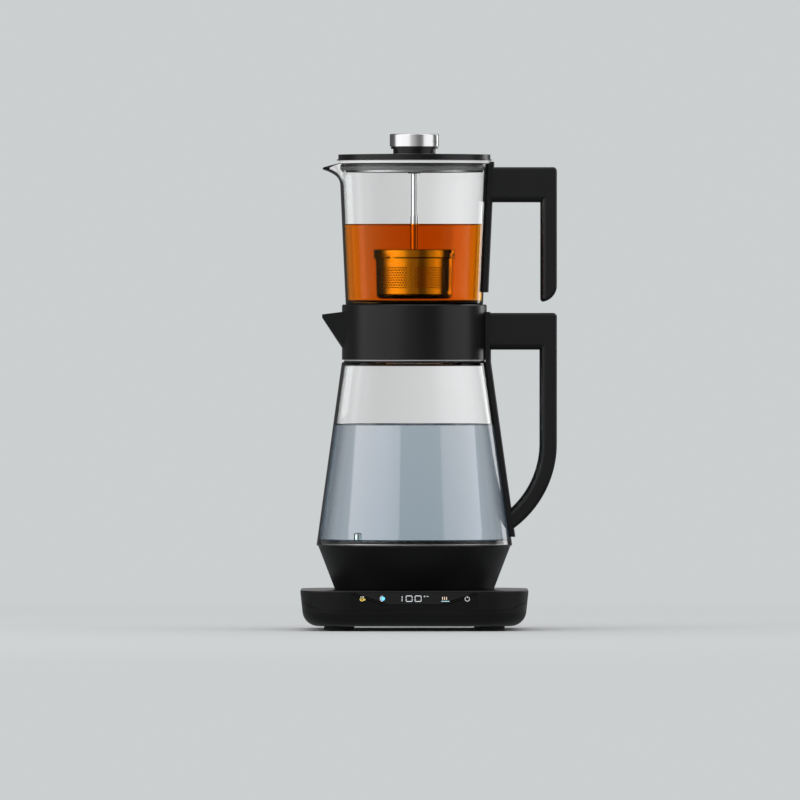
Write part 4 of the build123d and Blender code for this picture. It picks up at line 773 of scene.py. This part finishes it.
def liquid_line(inner, foot, level, creep, wall_steps, width=1.8, steps=8):
    """A liquid's outline up the wall of a vessel, which it wets and creeps up a little, and to the middle."""
    top = level + creep
    wall = [foot + (top - foot) * k / wall_steps for k in range(wall_steps)]
    edge = inner(top) + wetting
    creeping = [(edge - width * k / steps, level + creep * (1 - k / steps) ** 3) for k in range(steps + 1)]
    middle = [(edge * share, level) for share in (0.6, 0.3, 0)]
    return [(inner(z) + wetting, z) for z in wall] + creeping + middle


water_foot, water_creep = plate_z - wetting, 1.2
water_line = [(r, water_foot) for r in (0, 30, 60)]
water_line += liquid_line(kettle_inner, water_foot, water_level, water_creep, 10)
water = loops("water", [ring_at(*p) for p in water_line], water_clear)
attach(lets_light_through(water), "kettle")


# ======== collar, spout and kettle handle
# The collar is a moulded ring that clamps the glass by its neck and carries the spout, the teapot's
# seat and a strap down to the foot of the glass. The open handle is screwed on from inside.
collar_plastic = moulding("collar_plastic", (0.0045, 0.0045, 0.005), 0.30, 0.10, 0.0005, 0.00002)
dress(collar_plastic, "collar", "kettle_spout", "kettle_strap")
handle_plastic = moulding("handle_plastic", (0.0050, 0.0052, 0.0055), 0.34, 0.12, 0.0005, 0.00002)
dress(handle_plastic, "kettle_handle")
dress(zinc, "kettle_handle_screws")


# ======== teapot glass and tea
# A straight-sided beaker of borosilicate glass with a fire-polished rim, drawn out into a lip on
# the pouring side. The tea stands over the basket and is darker the more of it one looks through.
pot_foot_z, pot_height, pot_foot_radius, pot_rim_radius = 246.2, 108.1, 52.2, 57.1
pot_wall, pot_floor = 2.3, 3.0
rim_z = pot_foot_z + pot_height
lip_depth, lip_out, lip_drop, lip_half_angle = 18.0, 14.3, 4.4, radians(17.5)
pot_steps = 256


def pot_radius(z):
    """Outer radius of the teapot glass at height z, away from the lip."""
    return pot_foot_radius + (z - pot_foot_z) / pot_height * (pot_rim_radius - pot_foot_radius)


def pot_outer(turn_angle, z):
    """A point of the teapot's outside, with the lip drawn out of the wall about -X."""
    off_lip = abs(turn_angle % (2 * pi) - pi)
    bulge = cos(pi / 2 * min(1, off_lip / lip_half_angle)) ** 2
    up = max(0.0, 1 - (rim_z - z) / lip_depth)
    r = pot_radius(z) + lip_out * bulge * up ** 2.8
    z -= lip_drop * bulge ** 1.2 * up ** 1.5
    return Vector((r * cos(turn_angle), r * sin(turn_angle), z))


pot_angles = [2 * pi * n / pot_steps for n in range(pot_steps)]
edge_radius = pot_wall / 2
plain_z = pot_foot_z + 8  # over its rounded foot the wall is plain
wall_heights = [plain_z + (rim_z - lip_depth - plain_z) * k / 8 for k in range(8)]
wall_heights += [rim_z - lip_depth + (lip_depth - edge_radius) * (k / 20) ** 0.8 for k in range(21)]
outside, inside, over_rim = [], [], [[] for _ in range(5)]
for z in wall_heights:
    outer_ring, inner_ring = [], []
    for a in pot_angles:
        here = pot_outer(a, z)
        across = pot_outer(a + 0.002, z) - pot_outer(a - 0.002, z)
        upward = pot_outer(a, z + 0.05) - pot_outer(a, z - 0.05)
        normal = across.cross(upward).normalized()
        outer_ring.append(here * mm)
        inner_ring.append((here - normal * pot_wall) * mm)
        if z == wall_heights[-1]:
            middle = here - normal * edge_radius
            for k, ring in enumerate(over_rim):
                swing = pi * (k + 1) / 6
                over = normal * cos(swing) + upward.normalized() * sin(swing)
                ring.append((middle + edge_radius * over) * mm)
    outside.append(outer_ring)
    inside.append(inner_ring)


def pot_inner(z):
    """Inner radius of the teapot glass at height z, away from the lip."""
    return pot_radius(z) - pot_wall


pot_floor_z, pot_hollow = pot_foot_z + pot_floor, 0.7
inner_foot = rounded(
    [(0, pot_floor_z), (pot_inner(pot_floor_z), pot_floor_z), (pot_inner(plain_z - 0.4), plain_z - 0.4)],
    {1: 1.0}, 7,
)
outer_foot = rounded(
    [
        (0, pot_foot_z + pot_hollow), (40, pot_foot_z + pot_hollow), (43, pot_foot_z),
        (pot_foot_radius, pot_foot_z), (pot_radius(plain_z - 2), plain_z - 2),
    ],
    {1: 2.0, 2: 2.0, 3: 2.0}, 6,
)
pot_rings = [ring_at(r, z, pot_steps) for r, z in outer_foot] + outside + over_rim + inside[::-1]
pot_rings += [ring_at(r, z, pot_steps) for r, z in reversed(inner_foot)]
pot_glass = loops("teapot_body_glass", pot_rings, glass)
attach(lets_light_through(pot_glass), "teapot")
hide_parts("teapot_glass")

tea_level, tea_creep = 307.4, 0.8
# The tea's own orange, with painted shade making it darker where it is seen edge-on.
tea_clear = clear_stuff(
    "tea_clear", 1.01, (0.9277, 0.678, 0.0), 60.0,
    ((0, (1.0, 0.50, 0.05)), (0.60, (1.0, 0.50, 0.06)), (0.75, (0.6, 0.32, 0.08)), (1, (0.3, 0.16, 0.05))),
)
tea_line = [(r + (wetting if r else 0), z - wetting) for r, z in inner_foot]
tea_line += liquid_line(pot_inner, plain_z, tea_level, tea_creep, 8)
tea = loops("tea", [ring_at(r, z, pot_steps) for r, z in tea_line], tea_clear)
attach(lets_light_through(tea), "teapot")


# ======== teapot handle
# A strap bonded to the glass and an open handle, both black mouldings. Two screws along the handle's
# bar join them.
dress(handle_plastic, "teapot_strap", "teapot_handle")
dress(zinc, "teapot_handle_screws")


# ======== lid and knob
# A domed black moulding with a brushed steel cap on its knob. A pressed steel cup with a silicone
# ring plugs the teapot's mouth, and one nut in the knob holds the stack on the infuser's rod.
lid_plastic = moulding("lid_plastic", (0.0050, 0.0050, 0.0055), 0.28, 0.10, 0.0005, 0.00002)
dress(lid_plastic, "lid", "knob_core")
pressed_steel = turned_metal("pressed_steel", (0.62, 0.62, 0.63), 0.22, 0.18)
brushed_steel = turned_metal("brushed_steel", (0.68, 0.68, 0.69), 0.20, 0.16, anisotropic=0.3)
# Painted shade: the plug is painted darker above 348.7 mm and near black above 352 mm, a painted shadow under
# the seal.
plug_steel = shaded_by_height(
    turned_metal("plug_steel", (0.75, 0.75, 0.76), 0.30, 0.15),
    340.0, 360.0, (348.7, 0.50), (349.1, 0.40), (351.6, 0.36), (352.0, 0.12),
)
dress(plug_steel, "lid_plug")
dress(pressed_steel, "knob_nut")
dress(brushed_steel, "knob_cap")
lid_silicone, tree, shader = new_material("lid_silicone", Roughness=0.35)
# Painted shade: white silicone above 354.2 mm, painted near black below it as the shadow under the seal's
# edge.
tones = by_height(tree, 345.0, 360.0, (351.5, 0.17), (351.9, 0.05), (353.9, 0.04), (354.2, 0.97))
feed(tree, shader, Base_Color=tones)
dress(lid_silicone, "lid_seal")


# ======== infuser rod, sleeve and cap
# A stainless rod with a cross pin hangs from the plug. The sleeve locks on the pin and carries the
# pressed cap of the basket.
# Painted shade: the rod is painted near black above 346.5 mm, where it runs up into the plug.
rod_steel = shaded_by_height(
    turned_metal("rod_steel", (0.70, 0.70, 0.71), 0.12, 0.10),
    340.0, 350.0, (346.3, 1.0), (346.5, 0.03),
)
sleeve_steel = turned_metal("sleeve_steel", (0.66, 0.66, 0.67), 0.14, 0.10)
# Painted shade: a painted shadow band under the cap's rolled lip from 282.2 to 282.8 mm, and a painted dark
# reflection on its top edge above 288.4 mm.
cap_steel = shaded_by_height(
    turned_metal("cap_steel", (0.63, 0.63, 0.62), 0.12, 0.08),
    280.0, 290.0, (281.9, 0.6), (282.2, 0.10), (282.8, 0.10), (283.1, 1.0), (288.1, 1.0), (288.4, 0.12),
)
dress(rod_steel, "infuser_rod")
dress(sleeve_steel, "cross_pin", "infuser_sleeve")
dress(cap_steel, "infuser_cap")


# ======== infuser basket
# A drawn stainless cup with a belt of etched holes rolled into its wall, lap welded at the front,
# and three pegs under its rim for the cap's bayonet.
basket_z, basket_rim_z, basket_rim_radius, basket_foot_radius = 251.0, 287.6, 29.1, 28.3
basket_wall, basket_corner = 0.7, 3.4
basket_taper = (basket_rim_radius - basket_foot_radius) / (basket_rim_z - basket_z)
belt_foot, holes_round, hole_radius, hole_rows = 259.3, 83, 0.70, 9


def basket_outer(z):
    """Outer radius of the basket's wall at height z."""
    return basket_foot_radius + (z - basket_z) * basket_taper


belt_radius = basket_outer(belt_foot)
pitch_angle = 2 * pi / holes_round  # an odd count: a hole in the near wall shows steel in the far one
hole_pitch = pitch_angle * belt_radius
cell_side = hole_pitch / sqrt(3)
row_pitch = 1.5 * cell_side
belt_top = belt_foot + (hole_rows - 1) * row_pitch + cell_side
columns = holes_round - 2
seam_start = radians(-2.0)  # from the front, + to the right
seam_end = seam_start + (columns + 0.5) * pitch_angle - 2 * pi
seam_lap = 0.52 * pitch_angle

# The belt: a flat grid of cells with a hole each, every other row half a step on, rolled up into the
# wall, thickened outwards and painted near black on its inner face, as painted shade inside the basket.
belt_tree, given, result = shape_tree(
    "hole_belt", Columns=columns, Rows=hole_rows, Pitch=hole_pitch * mm, Row_Pitch=row_pitch * mm,
    Radius=belt_radius * mm, Taper=basket_taper, Foot=belt_foot * mm, Top=belt_top * mm,
    Start=-pi / 2 + seam_start + pitch_angle / 2, Wall=basket_wall * mm, Metal=None, Inside=None,
)
belt_node, belt_calc = partial(made, belt_tree), partial(calc, belt_tree)
long_side = belt_calc("MULTIPLY", belt_calc("SUBTRACT", given["Columns"], 1.0), given["Pitch"])
high_side = belt_calc("MULTIPLY", belt_calc("SUBTRACT", given["Rows"], 1.0), given["Row Pitch"])
cells = belt_node(
    "GeometryNodeMeshGrid", Size_X=long_side, Size_Y=high_side, Vertices_X=given["Columns"],
    Vertices_Y=given["Rows"],
)
at = put(belt_tree, "ShaderNodeSeparateXYZ", Vector=belt_node("GeometryNodeInputPosition")).outputs
along = belt_calc("MULTIPLY_ADD", long_side, 0.5, at["X"])
up = belt_calc("MULTIPLY_ADD", high_side, 0.5, at["Y"])
row_number = belt_calc("ROUND", belt_calc("DIVIDE", up, given["Row Pitch"]))
half_pitch = belt_calc("MULTIPLY", given["Pitch"], 0.5)
half_step = belt_calc("MULTIPLY", belt_calc("MODULO", row_number, 2.0), half_pitch)
cells = belt_node("GeometryNodeSetPosition", Geometry=cells, Offset=vector(belt_tree, X=half_step))
cells = belt_node("GeometryNodeInstanceOnPoints", Points=cells, Instance=given["Geometry"])
cells = belt_node("GeometryNodeRealizeInstances", Geometry=cells)
height = belt_calc("ADD", up, given["Foot"])
height = belt_calc("ADD", height, belt_calc("MULTIPLY", given["Row Pitch"], 1 / 3))
height = belt_calc("MINIMUM", belt_calc("MAXIMUM", height, given["Foot"]), given["Top"])
over_foot = belt_calc("SUBTRACT", height, given["Foot"])
reach = belt_calc("MULTIPLY_ADD", over_foot, given["Taper"], given["Radius"])
reach = belt_calc("SUBTRACT", reach, given["Wall"])
swing = belt_calc("ADD", belt_calc("DIVIDE", along, given["Radius"]), given["Start"])
rolled = vector(
    belt_tree, X=belt_calc("MULTIPLY", reach, belt_calc("COSINE", swing)),
    Y=belt_calc("MULTIPLY", reach, belt_calc("SINE", swing)), Z=height,
)
belt = belt_node("GeometryNodeSetPosition", Geometry=cells, Position=rolled)
belt = belt_node("GeometryNodeMergeByDistance", Geometry=belt, Distance=0.00002)
thick = belt_node("GeometryNodeExtrudeMesh", Mesh=belt, Offset_Scale=given["Wall"], Individual=False)
thick = belt_node("GeometryNodeSetMaterial", Geometry=thick, Material=given["Metal"])
back = belt_node("GeometryNodeFlipFaces", Mesh=belt)
back = belt_node("GeometryNodeSetMaterial", Geometry=back, Material=given["Inside"])
both = joined(belt_tree, thick, back)
both = belt_node("GeometryNodeMergeByDistance", Geometry=both, Distance=0.00001)
belt_tree.links.new(belt_node("GeometryNodeRealizeInstances", Geometry=both), result["Geometry"])

# Painted shade: the basket's rounded foot is painted dark below 255 mm.
basket_steel = shaded_by_height(
    turned_metal("basket_steel", (0.62, 0.62, 0.61), 0.12, 0.08),
    250.0, 260.0, (254.8, 0.12), (255.3, 1.0),
)
# Painted shade: the belt's inner face is near black, the shade inside the basket seen through the holes.
basket_inside = turned_metal("basket_inside", (0.012, 0.010, 0.008), 0.5, 0.1)
cell_mesh = bpy.data.meshes.new("hole_cell")
cell_mesh.materials.append(basket_steel)
edge_radii = [cell_side * (1, cos(pi / 6))[n % 2] for n in range(12)]  # the corners and middles of six sides
cell_points = [
    (r * mm * sin(pi / 6 * n), r * mm * cos(pi / 6 * n), 0)
    for radii in (edge_radii, [hole_radius] * 12) for n, r in enumerate(radii)
]
cell_mesh.from_pydata(cell_points, [], [(n, 12 + n, 12 + (n + 1) % 12, (n + 1) % 12) for n in range(12)])
basket_belt = grown(
    new_object("basket_hole_belt", cell_mesh), belt_tree, Metal=basket_steel, Inside=basket_inside,
)
basket_belt.data.shade_smooth()
basket_belt.data.set_sharp_from_angle(angle=radians(40))


def cup_ring(name, line):
    """A turned steel band from an outline of (r, z) points that may start and end on the axis."""
    return loops(name, [ring_at(r, z, 160) for r, z in line], basket_steel, closed=line[0][0] > 0)


foot_line = rounded(
    [(0, basket_z), (basket_foot_radius, basket_z), (basket_outer(belt_foot), belt_foot)],
    {1: basket_corner}, 8,
)
foot_back = rounded(
    [
        (basket_outer(belt_foot) - basket_wall, belt_foot),
        (basket_foot_radius - basket_wall, basket_z + basket_wall), (0, basket_z + basket_wall),
    ],
    {1: basket_corner - basket_wall}, 8,
)
basket_foot = cup_ring("basket_foot", foot_line + foot_back)
lip_radius = 0.25
basket_rim = cup_ring("basket_rim", [
    (basket_outer(belt_top) - basket_wall, belt_top), (basket_outer(belt_top), belt_top),
    (basket_rim_radius, basket_rim_z - lip_radius), (basket_rim_radius - lip_radius, basket_rim_z),
    (basket_rim_radius - basket_wall + lip_radius, basket_rim_z),
    (basket_rim_radius - basket_wall, basket_rim_z - lip_radius),
])


def bent_block(shape, inner, outer, low, high, start, end, steps):
    """Adds a closed piece of a ring to a mesh; inner and outer are (low, high) radii, angles in radians."""
    rows = []
    for n in range(steps + 1):
        a = start + (end - start) * n / steps
        section = ((inner[0], low), (outer[0], low), (outer[1], high), (inner[1], high))
        rows.append([shape.verts.new((r * mm * cos(a), r * mm * sin(a), z * mm)) for r, z in section])
    for before, after in zip(rows, rows[1:]):
        for n in range(4):
            m = (n + 1) % 4
            shape.faces.new((before[n], before[m], after[m], after[n]))
    shape.faces.new(rows[0])
    shape.faces.new(list(reversed(rows[-1])))


fittings = bmesh.new()
seam_proud, seam_margin = 0.06, 0.5
seam_low, seam_high = belt_foot - seam_margin, belt_top + seam_margin
bent_block(
    fittings, [basket_outer(z) - basket_wall - seam_proud for z in (seam_low, seam_high)],
    [basket_outer(z) + seam_proud for z in (seam_low, seam_high)], seam_low, seam_high,
    -pi / 2 + seam_end - seam_lap, -pi / 2 + seam_start + seam_lap, 8,
)
peg_z, peg_height, peg_width, peg_reach = 284.6, 1.6, 3.0, 30.5
peg_root, peg_half_turn = basket_outer(peg_z) - basket_wall, peg_width / basket_rim_radius / 2
for a in (radians(90), radians(210), radians(330)):
    bent_block(
        fittings, [peg_root] * 2, [peg_reach] * 2, peg_z - peg_height / 2, peg_z + peg_height / 2,
        a - peg_half_turn, a + peg_half_turn, 3,
    )
bmesh.ops.recalc_face_normals(fittings, faces=fittings.faces)
fittings_mesh = bpy.data.meshes.new("basket_seam_and_pegs")
fittings.to_mesh(fittings_mesh)
fittings.free()
fittings_mesh.materials.append(basket_steel)
basket_fittings = new_object("basket_seam_and_pegs", fittings_mesh)
for piece in (basket_belt, basket_foot, basket_rim, basket_fittings):
    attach(piece, "basket")
    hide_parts("infuser_basket")
